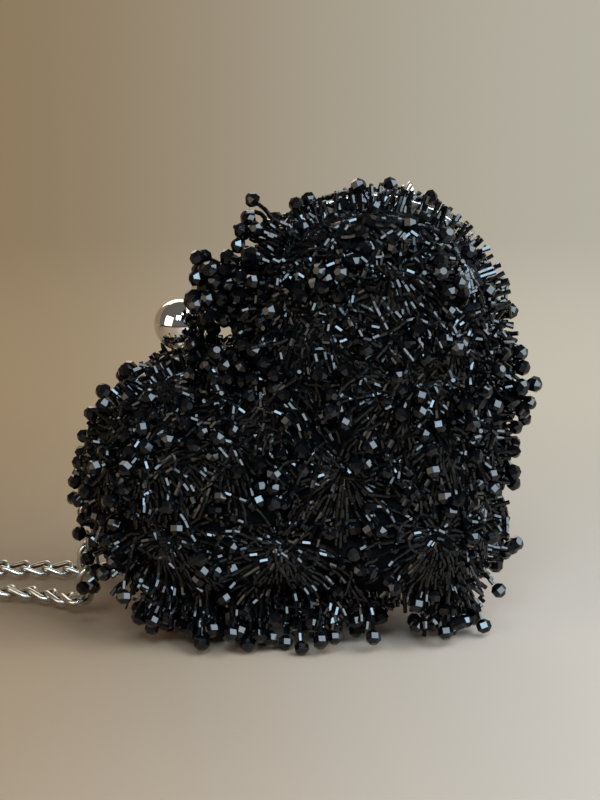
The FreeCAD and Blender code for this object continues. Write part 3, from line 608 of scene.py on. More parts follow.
# Flowers: their centres as x and z in millimetres, the depth from which these are moved onto the panel,
# the fewest and most beads of a strand, and how far up its strands may point; then how far, in
# millimetres, those of the rear are moved, how unevenly strands fan out, and where and how they set out
Flowers = namedtuple("Flowers", "spots start lengths lift")
FACE_FLOWERS = Flowers((
    (17, 114), (19, 67), (-21, 79), (-10, 100), (58, 112), (53, 80), (-50, 78), (-42, 44), (-2, 40),
    (2, 127), (53, 44), (36, 136), (38, 96),
), start=34.0, lengths=(7, 10), lift=0.7)
RIM_FLOWERS = Flowers((
    (-6, 143), (9, 149), (24, 150), (68, 108), (71, 84), (-9, 126), (-16, 107), (-29, 100), (-45, 94),
    (-59, 82), (-66, 73), (-68, 60), (-48, 24), (-20, 15), (8, 15), (68, 52),
), start=12.0, lengths=(7, 10), lift=0.2)
THIN_FLOWERS = Flowers(((40, 143), (53, 131)), start=12.0, lengths=(3, 4), lift=0.2)
REAR_SHIFT = 4.0
FAN_STRAY = 0.4
SEWN_REACH = (0.3, 2.4)
FLOWER_DROOP = (0.2, 1.0)

# The row of short strands that is sewn along the frame
EDGE_STEP = 0.0015
EDGE_LEVEL = 0.0095
EDGE_LEAN = 0.2
EDGE_STRAY = 0.2
EDGE_BEADS = (1, 2)

# Bunches, as root in millimetres and heading: over the rear clasp ball, beside the front one, at both
# ends of the upper lobe with the lower edge, and the tassel at the tip; one strand in a few is plain
Bunches = namedtuple("Bunches", "roots strands lengths spread")
CLASP_BUNCHES = Bunches((
    ((-12, -18, 122), (-0.9, -0.2, 0.3)), ((-10, -17, 128), (-0.9, -0.1, 0.35)),
    ((-9, -17, 130), (-0.85, -0.1, 0.5)), ((-8, -17, 133), (-0.9, -0.1, 0.2)),
), strands=14, lengths=(7, 9), spread=0.18)
NOTCH_BUNCHES = Bunches((
    ((-20, -17, 104), (-0.3, 0.1, 1.0)), ((-25, -16, 102), (-0.3, 0.1, 1.0)),
), strands=11, lengths=(3, 5), spread=0.18)
EDGE_BUNCHES = Bunches((
    ((-3, -15, 138), (-0.85, -0.2, 0.4)), ((2, -14, 143), (-0.6, -0.2, 0.7)),
    ((71, -14, 104), (0.9, -0.2, -0.2)), ((-48, -22, 31), (-0.3, -0.3, -1.0)),
    ((-31, -25, 27), (0.0, -0.35, -1.0)), ((-13, -25, 26), (0.0, -0.35, -1.0)),
    ((5, -25, 26), (0.0, -0.35, -1.0)), ((20, -24, 27), (-0.1, -0.35, -1.0)),
), strands=11, lengths=(6, 8), spread=0.2)
TASSEL_BUNCHES = Bunches((
    ((54, -24, 34), (0.05, -0.15, -1.0)), ((60, -18, 30), (0.3, 0.0, -1.0)),
), strands=11, lengths=(9, 11), spread=0.2)
BUNCH_REACH = 2.0
BUNCH_DROOP = 0.3
BUNCH_PLAIN = 3

# How much of its first heading a strand loses along its length, and the loops' lift, round and width
HEADING_FADE = 0.5
LOOP_LIFT = (0.2, 0.8)
LOOP_ROUND = 4.6
LOOP_WIDTH = 0.45

# Settling: sag and lay of a step, how strands stiffen, and how beads push each other apart
SAG = 0.12 * MM
LAY = 0.1 * MM
LAY_SHARE = 0.03
LOOSE_HEIGHT = 2 * MM
STIFFNESS = 0.12
ROOT_BEADS = 2
SMALL_BEAD = 1.5 * MM
PUSH_SHARE = 0.25
PUSH_LIMIT = 0.6 * MM
TINY = 1e-7


def flower_roots(flowers, way):
    """Points of the panel where flowers are sewn on, on one side."""
    chance = np.random.default_rng(beads().seed + (1 if way == REAR else 0))
    places = np.array([(x, flowers.start, z) for x, z in flowers.spots])
    if way == REAR:
        places += chance.uniform(-REAR_SHIFT, REAR_SHIFT, places.shape)
    else:
        places[:, 1] *= -1.0
    return onto_panel(places * MM)


class Strands:
    """Bead centres of many threads, row by row from the sewn end, with marks for the beads in use."""

    def __init__(self, places, gaps, sizes, used, held, side):
        self.places = places
        self.gaps = gaps
        self.sizes = sizes
        self.used = used
        self.held = held
        self.side = side


def fan_directions(root, count, chance, low, high):
    """Directions that fan out from a flower's centre, the same flat against the cloth, and the normal."""
    normal = slope(panel_distance, root[None])[0]
    level = np.cross(normal, (0.0, 0.0, 1.0))
    level /= np.linalg.norm(level)
    upright = np.cross(level, normal)
    turn = (np.arange(count) + chance.uniform(-FAN_STRAY, FAN_STRAY, count)) * (2 * math.pi / count)
    lift = chance.uniform(low, high, count)
    flat = np.cos(turn)[:, None] * level + np.sin(turn)[:, None] * upright
    return flat * np.cos(lift)[:, None] + normal * np.sin(lift)[:, None], flat, normal


# How a strand sets out: way is its side of the bag, and a tight one is sewn down along its length
Start = namedtuple("Start", "root heading count droop way drop tight", defaults=(False,))


def bead_count(lengths, chance):
    return int(chance.integers(lengths[0], lengths[1] + 1))


def flower_starts(flowers, way, chance, strands, drops):
    """How the strands of some flowers set out: fanned all round, flat against the cloth or lifted."""
    starts = []
    for root in flower_roots(flowers, way):
        headings, flat = fan_directions(root, strands, chance, 0.0, flowers.lift)[:2]
        for heading, spread in zip(headings, flat):
            sewn = root + spread * chance.uniform(*SEWN_REACH) * MM
            drop = chance.uniform() < drops
            count = bead_count(flowers.lengths, chance)
            starts.append(Start(sewn, heading, count, chance.uniform(*FLOWER_DROOP), way, drop))
    return starts


def edge_starts(way, chance):
    """How the short strands set out that are sewn down along the panel's edge, over the frame."""
    sizes = heart()
    outline = heart_ring(sizes.panel_radius, sizes.panel_tip)
    after = np.roll(outline, -1, axis=0)
    spans = np.linalg.norm(after - outline, axis=1)
    run = np.concatenate([[0.0], np.cumsum(spans)])
    closed = np.concatenate([outline, outline[:1]])
    starts = []
    for place in np.arange(0.0, run[-1], EDGE_STEP):
        spot = [np.interp(place, run, closed[:, axis]) for axis in (0, 1)]
        ahead = [np.interp((place + EDGE_STEP) % run[-1], run, closed[:, axis]) for axis in (0, 1)]
        tangent = np.subtract(ahead, spot) / np.linalg.norm(np.subtract(ahead, spot))
        heading = ALONG * tangent[1] - RISE * tangent[0] - BACK * way * EDGE_LEAN
        heading = heading + chance.normal(0.0, EDGE_STRAY, 3)
        root = to_world(spot[0], way * EDGE_LEVEL, spot[1])
        count = bead_count(EDGE_BEADS, chance)
        starts.append(Start(root, heading / np.linalg.norm(heading), count, 0.0, way, False, True))
    return starts


def bunch_starts(bunches, chance):
    """How the strands of some bunches set out: all of a bunch the same way, a little spread."""
    starts = []
    for root, heading in bunches.roots:
        for number in range(bunches.strands):
            way = np.array(heading) + chance.normal(0.0, bunches.spread, 3)
            sewn = np.array(root) * MM + chance.uniform(-BUNCH_REACH, BUNCH_REACH, 3) * MM
            count = bead_count(bunches.lengths, chance)
            drop = number % BUNCH_PLAIN > 0
            starts.append(Start(sewn, way / np.linalg.norm(way), count, BUNCH_DROOP, FRONT, drop))
    return starts


def hanging_strands(starts):
    """Single strands, some with a faceted bead at the end, each drooping a little more along its length."""
    sizes = beads()
    most = max(start.count for start in starts) + 2
    shape = (len(starts), most)
    places = np.zeros(shape + (3,))
    gaps = np.full((len(starts), most - 1), sizes.pitch)
    used = np.zeros(shape, bool)
    radii = np.full(shape, sizes.bugle_width / 2)
    down = np.array((0.0, 0.0, -1.0))
    for number, start in enumerate(starts):
        last = start.count + 1
        used[number, :last + 1] = True
        if start.drop:
            gaps[number, last - 1] = (sizes.drop_width + sizes.bugle_length) / 2
            radii[number, last] = sizes.drop_width / 2
        place = start.root
        for bead in range(most):
            places[number, bead] = place
            share = bead / last
            heading = start.heading * (1 - HEADING_FADE * share) + down * start.droop * share
            if bead < most - 1:
                place = place + heading / np.linalg.norm(heading) * gaps[number, bead]
    held = np.zeros(shape, bool)
    held[:, 0] = True
    held[[start.tight for start in starts]] = True
    return Strands(places, gaps, radii, used, held, np.array([start.way for start in starts]))


def loop_strands(roots, chance):
    """Loops that go out and come back to the flower's centre."""
    sizes = beads()
    most = sizes.loop_beads
    rows = []
    for root, way in roots:
        directions, flat, normal = fan_directions(root, sizes.loop_count, chance, *LOOP_LIFT)
        for direction, spread in zip(directions, flat):
            rows.append((root, direction, np.cross(normal, spread), way))
    total = len(rows)
    places = np.zeros((total, most, 3))
    turn = np.linspace(0, 2 * math.pi, most)
    reach = most * sizes.pitch / LOOP_ROUND
    for number, (root, direction, across, way) in enumerate(rows):
        out = (1 - np.cos(turn)) * reach
        wide = np.sin(turn) * reach * LOOP_WIDTH
        places[number] = root + np.multiply.outer(out, direction) + np.multiply.outer(wide, across)
    gaps = np.full((total, most - 1), sizes.pitch)
    used = np.ones((total, most), bool)
    radii = np.full((total, most), sizes.bugle_width / 2)
    held = np.zeros((total, most), bool)
    held[:, 0] = True
    held[:, -1] = True
    return Strands(places, gaps, radii, used, held, np.array([row[3] for row in rows]))


def close_pairs(first, second, reach):
    """Numbers of the points of two sets that share a grid cell or lie in neighbouring ones."""
    corner = np.minimum(first.min(0), second.min(0)) - 2 * reach
    first_cell = np.floor((first - corner) / reach).astype(np.int64)
    second_cell = np.floor((second - corner) / reach).astype(np.int64)
    room = np.maximum(first_cell.max(0), second_cell.max(0)) + 3
    second_key = (second_cell[:, 0] * room[1] + second_cell[:, 1]) * room[2] + second_cell[:, 2]
    order = np.argsort(second_key, kind="stable")
    ranked = second_key[order]
    found = []
    for step in np.ndindex(3, 3, 3):
        cell = first_cell + np.array(step) - 1
        key = (cell[:, 0] * room[1] + cell[:, 1]) * room[2] + cell[:, 2]
        start = np.searchsorted(ranked, key, "left")
        count = np.searchsorted(ranked, key, "right") - start
        one = np.repeat(np.arange(len(first)), count)
        other = np.arange(count.sum()) - np.repeat(np.cumsum(count) - count, count) + np.repeat(start, count)
        found.append((one, order[other]))
    return np.concatenate([pair[0] for pair in found]), np.concatenate([pair[1] for pair in found])


def push_apart(places, radii, thread, first, second, reach):
    """Moves beads of two sets apart where they overlap."""
    one, other = close_pairs(places[first], places[second], reach)
    one = first[one]
    other = second[other]
    keep = thread[one] != thread[other]
    one = one[keep]
    other = other[keep]
    apart = places[other] - places[one]
    length = np.linalg.norm(apart, axis=1)
    need = radii[one] + radii[other]
    touch = (length < need) & (length > TINY)
    one = one[touch]
    other = other[touch]
    move = apart[touch] * ((need - length)[touch] / length[touch] * PUSH_SHARE)[:, None]
    total = np.zeros_like(places)
    for axis in range(3):
        total[:, axis] += np.bincount(other, move[:, axis], len(places))
        total[:, axis] -= np.bincount(one, move[:, axis], len(places))
    return places + np.clip(total, -PUSH_LIMIT, PUSH_LIMIT)


def keep_length(strands):
    """Sets the beads back to their distance along each thread, for loops also from the other end."""
    places = strands.places
    for bead in range(1, places.shape[1]):
        step = places[:, bead] - places[:, bead - 1]
        length = np.maximum(np.linalg.norm(step, axis=1, keepdims=True), TINY)
        goal = places[:, bead - 1] + step / length * strands.gaps[:, bead - 1:bead]
        free = ~strands.held[:, bead]
        places[free, bead] = goal[free]
    if strands.held[0, -1]:
        for bead in range(places.shape[1] - 2, 0, -1):
            step = places[:, bead] - places[:, bead + 1]
            length = np.maximum(np.linalg.norm(step, axis=1, keepdims=True), TINY)
            goal = places[:, bead + 1] + step / length * strands.gaps[:, bead:bead + 1]
            places[:, bead] = (places[:, bead] + goal) / 2


def keep_clear(places, radii, side):
    """Lifts beads out of the bag and the floor, and keeps the two sides apart."""
    distance = core_distance(places) - radii
    deep = distance < 0
    if deep.any():
        places[deep] -= slope(core_distance, places[deep]) * distance[deep][:, None]
    middle = places[:, 1] * side
    cross = middle < radii
    places[cross, 1] = side[cross] * radii[cross]
    places[:, 2] = np.maximum(places[:, 2], radii)
    return places


def settle(groups, steps):
    """Lets all strands sag and pile up on the bag, the floor and each other."""
    drop = np.array((0.0, 0.0, -SAG))
    used = [group.used.ravel() for group in groups]
    radii = np.concatenate([group.sizes.ravel()[mask] for group, mask in zip(groups, used)])
    sides = [np.broadcast_to(group.side[:, None], group.used.shape).ravel()[mask]
             for group, mask in zip(groups, used)]
    side = np.concatenate(sides)
    threads = []
    near_root = []
    start = 0
    for group, mask in zip(groups, used):
        rows, columns = group.used.shape
        number = np.broadcast_to(np.arange(rows)[:, None] + start, (rows, columns))
        threads.append(number.ravel()[mask])
        order = np.broadcast_to(np.arange(columns), (rows, columns))
        near_root.append((order < ROOT_BEADS).ravel()[mask])
        start += rows
    thread = np.concatenate(threads)
    loose = ~np.concatenate(near_root)
    small = np.flatnonzero((radii < SMALL_BEAD) & loose)
    large = np.flatnonzero(radii >= SMALL_BEAD)
    tube = beads().bugle_width
    ball = beads().drop_width
    meetings = ((small, small, tube), (large, small, (ball + tube) / 2), (large, large, ball))
    for step in range(steps):
        for group in groups:
            group.places[~group.held] += drop
            bend = (group.places[:, :-2] + group.places[:, 2:]) / 2 - group.places[:, 1:-1]
            bend[group.held[:, 1:-1]] = 0
            group.places[:, 1:-1] += STIFFNESS * bend
            keep_length(group)
        places = np.concatenate([group.places.reshape(-1, 3)[mask] for group, mask in zip(groups, used)])
        for first, second, reach in meetings:
            places = push_apart(places, radii, thread, first, second, reach)
        height = core_distance(places) - radii
        high = height > LOOSE_HEIGHT
        places[high] -= slope(core_distance, places[high]) * (LAY + LAY_SHARE * height[high])[:, None]
        places = keep_clear(places, radii, side)
        start = 0
        for group, mask in zip(groups, used):
            rows = group.places.reshape(-1, 3)
            moved = rows.copy()
            moved[mask] = places[start:start + mask.sum()]
            start += mask.sum()
            moved = moved.reshape(group.places.shape)
            moved[group.held] = group.places[group.held]
            group.places[:] = moved
    for group in groups:
        keep_length(group)


# Beads on their threads: rows of the faceted bead as height and width, sides of both kinds, how their
# scales and tones vary, and the number of threads above which a heap is made in two pieces
FACET_ROWS = ((0.86, 0.44), (0.36, 0.96), (-0.36, 0.96), (-0.86, 0.44))
FACETS = 7
TUBE_SIDES = 6
TUBE_SCALES = (0.92, 1.08)
DROP_SCALES = (0.92, 1.06)
TUBE_TONES = (0.3, 1.0)
DROP_TONES = (0.0, 0.4)
FULL_TURN = 6.3
HEAP_LIMIT = 520


def faceted_bead():
    """Round glass bead ground to three rows of facets and a flat at each end of its hole."""
    rows = []
    for height, width in FACET_ROWS:
        angles = [number * 2 * math.pi / FACETS for number in range(FACETS)]
        rows.append([(width * math.cos(angle) / 2, width * math.sin(angle) / 2, height / 2)
                     for angle in angles])
    return new_object("faceted_bead", skin("faceted_bead", rows, caps=(0, -1), smooth=False))


def bead_tree():
    """Threads in, beads out: a cut tube on each point, and the drop bead on each marked last point."""
    web, given = new_tree("beads on threads", {
        "Threads": "Geometry", "Drop Bead": "Object", "Bugle Length": "Float", "Bugle Width": "Float",
        "Drop Width": "Float", "Glass": "Material", "Seed": "Int",
    }, "Beads")

    def chance(low, high, number):
        seed = web.add("ShaderNodeMath", {"operation": "ADD"}, {0: given["Seed"], 1: float(number)})
        values = {"Min": low, "Max": high, "Seed": seed}
        return web.add("FunctionNodeRandomValue", {"data_type": "FLOAT"}, values, "Value")

    threads = web.add("GeometryNodeMeshToCurve", {}, {"Mesh": given["Threads"]})
    drop = web.add("GeometryNodeInputNamedAttribute", {"data_type": "FLOAT"}, {"Name": "drop"}, "Attribute")
    is_drop = web.add("FunctionNodeCompare", {"data_type": "FLOAT", "operation": "GREATER_THAN"},
                      {"A": drop, "B": 0.5}, "Result")
    is_tube = web.add("FunctionNodeBooleanMath", {"operation": "NOT"}, {0: is_drop})
    thread_way = web.add("GeometryNodeInputTangent")
    facing = web.add("FunctionNodeAlignRotationToVector", {"axis": "Z"}, {"Vector": thread_way})
    spin = web.add("FunctionNodeAxisAngleToRotation", {},
                   {"Axis": (0.0, 0.0, 1.0), "Angle": chance(0.0, FULL_TURN, 1)})
    turned = web.add("FunctionNodeRotateRotation", {"rotation_space": "LOCAL"},
                     {"Rotation": facing, "Rotate By": spin})
    tube = web.add("GeometryNodeMeshCylinder", {"fill_type": "NGON"}, {
        "Vertices": TUBE_SIDES, "Radius": given["Bugle Width"] * 0.5, "Depth": given["Bugle Length"],
    }, "Mesh")
    ball = web.add("GeometryNodeObjectInfo", {}, {"Object": given["Drop Bead"]}, "Geometry")
    tube_scale = chance(*TUBE_SCALES, 2)
    ball_scale = given["Drop Width"] * chance(*DROP_SCALES, 3)
    both = web.tree.nodes.new("GeometryNodeJoinGeometry")
    for bead, chosen, scale, tones in ((tube, is_tube, tube_scale, TUBE_TONES),
                                       (ball, is_drop, ball_scale, DROP_TONES)):
        strung = web.add("GeometryNodeInstanceOnPoints", {}, {
            "Points": threads, "Selection": chosen, "Instance": bead, "Rotation": turned, "Scale": scale})
        marked = web.add("GeometryNodeStoreNamedAttribute", {"domain": "INSTANCE", "data_type": "FLOAT"}, {
            "Geometry": strung, "Name": "bead_tone", "Value": chance(*tones, 4)})
        web.tree.links.new(marked.socket, both.inputs[0])
    return close_tree(web, Wire(web, both.outputs[0]), given["Glass"], smooth=False)


def set_inputs(modifier, tree, values):
    """Sets a modifier's inputs by the identifiers of their sockets."""
    for item in tree.interface.items_tree:
        if item.item_type == "SOCKET" and item.in_out == "INPUT" and item.name in values:
            modifier[item.identifier] = values[item.name]


def grown(name, source, tree, values):
    """The plain mesh that a tree makes of a source object, which is then removed."""
    modifier = source.modifiers.new("grow", "NODES")
    modifier.node_group = tree
    set_inputs(modifier, tree, values)
    mesh = baked(source)
    mesh.name = name
    data = source.data
    bpy.data.objects.remove(source)
    if isinstance(data, bpy.types.Mesh):
        bpy.data.meshes.remove(data)
    else:
        bpy.data.curves.remove(data)
    return mesh


def thread_lines(name, rows):
    """Threads as one object of loose edges: rows of bead centres and whether the last is a drop bead."""
    places = np.concatenate([row for row, ends in rows])
    edges = []
    marks = []
    for row, ends in rows:
        first = len(marks)
        edges += [(first + number, first + number + 1) for number in range(len(row) - 1)]
        marks += [0.0] * (len(row) - 1) + [float(ends)]
    mesh = bpy.data.meshes.new(name)
    mesh.from_pydata(places.tolist(), edges, [])
    mark = mesh.attributes.new("drop", "FLOAT", "POINT")
    mark.data.foreach_set("value", marks)
    return new_object(name, mesh)


def fringe_piece(name, rows, tree, glass, bead):
    """One piece of the fringe from its threads."""
    source = thread_lines(name + "_threads", rows)
    sizes = beads()
    mesh = grown(name, source, tree, {
        "Drop Bead": bead, "Bugle Length": sizes.bugle_length, "Bugle Width": sizes.bugle_width,
        "Drop Width": sizes.drop_width, "Glass": glass, "Seed": sizes.seed,
    })
    piece = mesh_object(name, mesh, glass)
    return piece


def thread_rows(groups):
    """All threads as rows of bead centres, with their side and whether a drop bead ends them."""
    rows = []
    for group in groups:
        for places, used, sizes, side in zip(group.places, group.used, group.sizes, group.side):
            ends = sizes[used][-1] > beads().bugle_width
            rows.append((places[used], ends, side))
    return rows


class PURSE_OT_fringe(Operator):
    """Hang the bead flowers on both sides and the tassel under the tip"""

    bl_idname = "purse.fringe"
    bl_label = "Bead Fringe"

    def execute(self, context):
        sizes = beads()
        chance = np.random.default_rng(sizes.seed)
        starts = []
        loops = []
        for way in (FRONT, REAR):
            starts += flower_starts(FACE_FLOWERS, way, chance, sizes.face_strands, sizes.face_drops)
            starts += flower_starts(RIM_FLOWERS, way, chance, sizes.rim_strands, sizes.rim_drops)
            starts += flower_starts(THIN_FLOWERS, way, chance, sizes.rim_strands, sizes.thin_drops)
            starts += edge_starts(way, chance)
            loops += [(root, way) for root in flower_roots(FACE_FLOWERS, way)]
        for bunches in (CLASP_BUNCHES, NOTCH_BUNCHES, EDGE_BUNCHES):
            starts += bunch_starts(bunches, chance)
        tassel = bunch_starts(TASSEL_BUNCHES, chance)
        groups = [hanging_strands(starts), loop_strands(loops, chance), hanging_strands(tassel)]
        settle(groups, sizes.settle_steps)
        low = heart().fold_start
        high = heart().fold_end
        heaps = {"front_beads_flap": [], "front_beads_fold": [], "front_beads_base": [], "rear_beads": []}
        for row, ends, side in thread_rows(groups[:2]):
            rise = to_own(row)[2]
            if side == REAR:
                heap = "rear_beads"
            elif rise.max() < low:
                heap = "front_beads_base"
            elif rise.min() > high:
                heap = "front_beads_flap"
            else:
                heap = "front_beads_fold"
            heaps[heap].append((row, ends))
        tree = bead_tree()
        glass = black_glass()
        bead = faceted_bead()
        stands_for = {
            "front_beads_flap": "front_fringe_flap", "front_beads_fold": "front_fringe_fold",
            "front_beads_base": "front_fringe_base", "rear_beads": "rear_fringe",
        }
        for name, rows in heaps.items():
            halves = 2 if len(rows) > HEAP_LIMIT else 1
            for half in range(halves):
                title = name if halves == 1 else "%s_%d" % (name, half + 1)
                piece = fringe_piece(title, rows[half::halves], tree, glass, bead)
                if name == "front_beads_fold":
                    bend_over_hinge(piece)
                else:
                    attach(piece, "front_flap" if name == "front_beads_flap" else "purse_body")
                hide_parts(stands_for[name])
        piece = fringe_piece("tip_beads", [row[:2] for row in thread_rows(groups[2:])], tree, glass, bead)
        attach(piece, "purse_body")
        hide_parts("tip_tassel")
        bpy.data.objects.remove(bead)
        return {"FINISHED"}


def bend_over_hinge(piece):
    """Works a front piece's place into its mesh; the start and end of a crease below the hinge line are
    found but not used.
    """
    start = ORIGIN + RISE * heart().fold_start
    end = ORIGIN + RISE * heart().fold_end
    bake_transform(piece)


# The padding: its cloth, its fill, and the levels of its wall and of the hem that stands out from it
CLOTH_THICKNESS = 0.0008
WALL_FOOT = 0.0004
HEM_FOOT = 0.0022
HEM_TOP = 0.0034
HEM_SLOPE = 0.0001
WALL_TOP = 0.0055


class PURSE_OT_padding(Operator):
    """Make the padded cloth panels that the flowers are sewn to"""

    bl_idname = "purse.padding"
    bl_label = "Padded Panels"

    def execute(self, context):
        sizes = heart()
        cloth = woven_cloth()
        hem = heart_ring(sizes.hem_radius, sizes.panel_tip + sizes.hem_radius - sizes.panel_radius)
        wall = heart_ring(sizes.panel_radius, sizes.panel_tip)
        rings = [
            (wall, WALL_FOOT), (wall, HEM_FOOT), (hem, HEM_FOOT + HEM_SLOPE), (hem, HEM_TOP - HEM_SLOPE),
            (wall, HEM_TOP), (wall, WALL_TOP),
        ]
        rings += rounded_rings(sizes.panel_radius, sizes.panel_tip, sizes.panel_depth, sizes.panel_edge)
        for name, way in SIDES:
            piece = mesh_object(name + "_padding", dish_mesh(name + "_padding", rings, 0.0, way), cloth)
            sew_down(piece, flower_roots(FACE_FLOWERS, way))
            with_modifier(piece, "SOLIDIFY", thickness=CLOTH_THICKNESS, offset=-1.0)
            if way == FRONT:
                bend_over_hinge(piece)
                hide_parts("front_panel_flap", "front_panel_fold", "front_panel_base")
            else:
                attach(piece, "purse_body")
                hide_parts("rear_panel")
        return {"FINISHED"}


# The lining: the piece that it is cut from, how far it lies inside the padding, the levels of its wall,
# how its middle sinks, and how deep its pleats are
SATIN_THICKNESS = 0.0003
LINING_INSET = 0.0017
LINING_LEVELS = (0.0006, 0.002, 0.004, 0.006)
LINING_CROWN = -0.0008
PLEAT_DEPTH = 0.0009
PLEAT_TURN = math.pi / 2


def gathered(outline, share):
    """Gathers a lining ring into small pleats that fade away from the frame."""
    wave = 0.5 - 0.5 * np.cos(np.arange(len(outline)) * PLEAT_TURN)
    depth = PLEAT_DEPTH * (1 - share) ** 2
    inward = HEART_MIDDLE - outline
    inward = inward / np.linalg.norm(inward, axis=1, keepdims=True)
    return outline + inward * (wave * depth)[:, None]


class PURSE_OT_lining(Operator):
    """Make the gathered satin lining of both halves"""

    bl_idname = "purse.lining"
    bl_label = "Lining"

    def execute(self, context):
        sizes = heart()
        satin = lining_satin()
        radius = sizes.panel_radius - LINING_INSET
        tip = sizes.panel_tip - LINING_INSET
        depth = sizes.panel_depth - LINING_INSET
        rings = [(heart_ring(radius, tip), level) for level in LINING_LEVELS]
        rings += rounded_rings(radius, tip, depth, sizes.panel_edge - LINING_INSET)
        rings = [(gathered(outline, level / depth), level) for outline, level in rings]
        for name, way in SIDES:
            piece = mesh_object(name + "_satin", dish_mesh(name + "_satin", rings, LINING_CROWN, way), satin)
            sew_down(piece, flower_roots(FACE_FLOWERS, way))
            with_modifier(piece, "SOLIDIFY", thickness=SATIN_THICKNESS, offset=0.0)
            if way == FRONT:
                bend_over_hinge(piece)
                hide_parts("front_lining_flap", "front_lining_fold", "front_lining_base")
            else:
                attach(piece, "purse_body")
                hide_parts("rear_lining")
        return {"FINISHED"}


# Backdrop: where the floor ends and bends up, how high and wide it is, and the spans, in metres from the
# purse or as a share of the view, over which its painted shade and light and its painted glow grow
FLOOR_END = 1.7
FLOOR_BEND = 0.6
WALL_HEIGHT = 3.0
FLOOR_REACH = 12.0
BEND_STEPS = 14
TONE_SPAN = (-0.2, 0.2)
SHADE_SPAN = (0.4, 1.6)
BEHIND_SPAN = (0.0, 0.45)
BEFORE_SPAN = (0.5, 1.2)
BESIDE_SPAN = (0.6, 1.2)

# Lamps as name, place, width, power in watts and colour; then the room's light and the camera
LAMPS = (
    ("window", (0.75, -0.45, 0.75), 1.10, 40.0, (0.70, 0.87, 1.0)),
    ("sky_light", (-0.10, -1.10, 1.00), 0.45, 17.0, (0.55, 0.80, 1.0)),
    ("room_fill", (-0.90, -0.70, 0.50), 0.80, 5.0, (1.0, 0.86, 0.70)),
    ("rear_fill", (-0.30, 1.20, 0.90), 0.90, 5.0, (1.0, 0.92, 0.82)),
)
ROOM_COLOUR = (1.0, 0.92, 0.80, 1.0)
ROOM_STRENGTH = 0.12
SENSOR_WIDTH = 36.0
CLIP_START = 0.01


def backdrop_mesh():
    """Floor that curves up into a wall, far enough for a camera behind the purse."""
    profile = [(-FLOOR_REACH, 0.0), (FLOOR_END, 0.0)]
    for angle in np.linspace(0, math.pi / 2, BEND_STEPS)[1:]:
        rise = FLOOR_BEND - FLOOR_BEND * math.cos(angle)
        profile.append((FLOOR_END + FLOOR_BEND * math.sin(angle), rise))
    profile.append((FLOOR_END + FLOOR_BEND, WALL_HEIGHT))
    rows = [[(x, y, z) for y, z in profile] for x in (-FLOOR_REACH, FLOOR_REACH)]
    return skin("backdrop", rows, round_rows=False)


def pale_backdrop():
    """Floor that takes shadows near the purse and, farther off, glows as a backdrop in painted light and
    shade.
    """
    sizes = stage_sizes()
    material, web, feed = new_finish("pale backdrop", {"Roughness": 0.75, "Specular IOR Level": 0.2})

    def part(value, span):
        values = {"Value": value, "From Min": span[0], "From Max": span[1]}
        return web.add("ShaderNodeMapRange", {"interpolation_type": "SMOOTHSTEP"}, values, "Result")

    def size_of(value):
        return web.add("ShaderNodeMath", {"operation": "ABSOLUTE"}, {0: value})

    def ray(kind):
        return web.add("ShaderNodeLightPath", out="Is %s Ray" % kind)

    aside = web.add("ShaderNodeSeparateXYZ", {}, {"Vector": object_place(web)}, "X")
    behind = web.add("ShaderNodeSeparateXYZ", {}, {"Vector": object_place(web)}, "Y")
    across = part(aside / (size_of(behind) + sizes.distance), TONE_SPAN)
    # Painted shade and light: the floor's own colour runs from darker on the left to lighter on the right
    feed("Base Color", mixed(web, across, sizes.near_left_shaded[:], sizes.near_right_lit[:]))
    # Painted light: farther off, the backdrop glows instead of taking the lamps' light, with painted shade
    # on the left and far behind and painted light on the right
    far = mixed(web, across, sizes.far_left_shaded[:], sizes.far_right_lit[:])
    shaded = mixed(web, part(behind, SHADE_SPAN) * sizes.wall_shade, far, (0.0, 0.0, 0.0, 1.0))
    painted_glow = web.add("ShaderNodeEmission", {}, {"Color": shaded})
    camera = ray("Camera")
    seen = camera + ray("Glossy") + ray("Transmission")
    before = part(0.0 - behind, BEFORE_SPAN) * camera
    beside = part(size_of(aside), BESIDE_SPAN) * camera
    around = before.reckon("MAXIMUM", before, beside)
    share = around.reckon("MAXIMUM", around, part(behind, BEHIND_SPAN) * seen)
    lit = Wire(web, web.tree.nodes["Principled BSDF"].outputs[0])
    both = web.add("ShaderNodeMixShader", {}, {0: share, 1: lit, 2: painted_glow})
    web.tree.links.new(both.socket, web.tree.nodes["Material Output"].inputs["Surface"])
    return material


class PURSE_OT_stage(Operator):
    """Set up the backdrop, the lights and the camera"""

    bl_idname = "purse.stage"
    bl_label = "Stage"

    def execute(self, context):
        sizes = stage_sizes()
        backdrop = mesh_object("backdrop", backdrop_mesh(), pale_backdrop())
        world = bpy.data.worlds.new("room")
        context.scene.world = world
        world.use_nodes = True
        ground = world.node_tree.nodes["Background"]
        ground.inputs["Color"].default_value = ROOM_COLOUR
        ground.inputs["Strength"].default_value = ROOM_STRENGTH
        for name, spot, width, power, colour in LAMPS:
            lamp = bpy.data.lights.new(name, "AREA")
            lamp.size = width
            lamp.energy = power
            lamp.color = colour
            holder = new_object(name, lamp)
            holder.location = spot
            holder.rotation_euler = direction_euler(np.array(sizes.target) - np.array(spot))
        lens = bpy.data.cameras.new("view")
        lens.sensor_fit = "HORIZONTAL"
        lens.sensor_width = SENSOR_WIDTH
        lens.lens = SENSOR_WIDTH * sizes.distance / sizes.view_width
        lens.clip_start = CLIP_START
        holder = new_object("view", lens)
        back = np.array((0.0, -math.cos(sizes.elevation), math.sin(sizes.elevation)))
        holder.location = np.array(sizes.target) + back * sizes.distance
        holder.rotation_euler = (math.pi / 2 - sizes.elevation, 0.0, 0.0)
        context.scene.camera = holder
        context.scene.view_settings.view_transform = "Standard"
        return {"FINISHED"}


def direction_euler(aim):
    """Turn that points a lamp's beam along a direction."""
    length = np.linalg.norm(aim)
    return (math.acos(-aim[2] / length), 0.0, math.atan2(aim[1], aim[0]) - math.pi / 2)


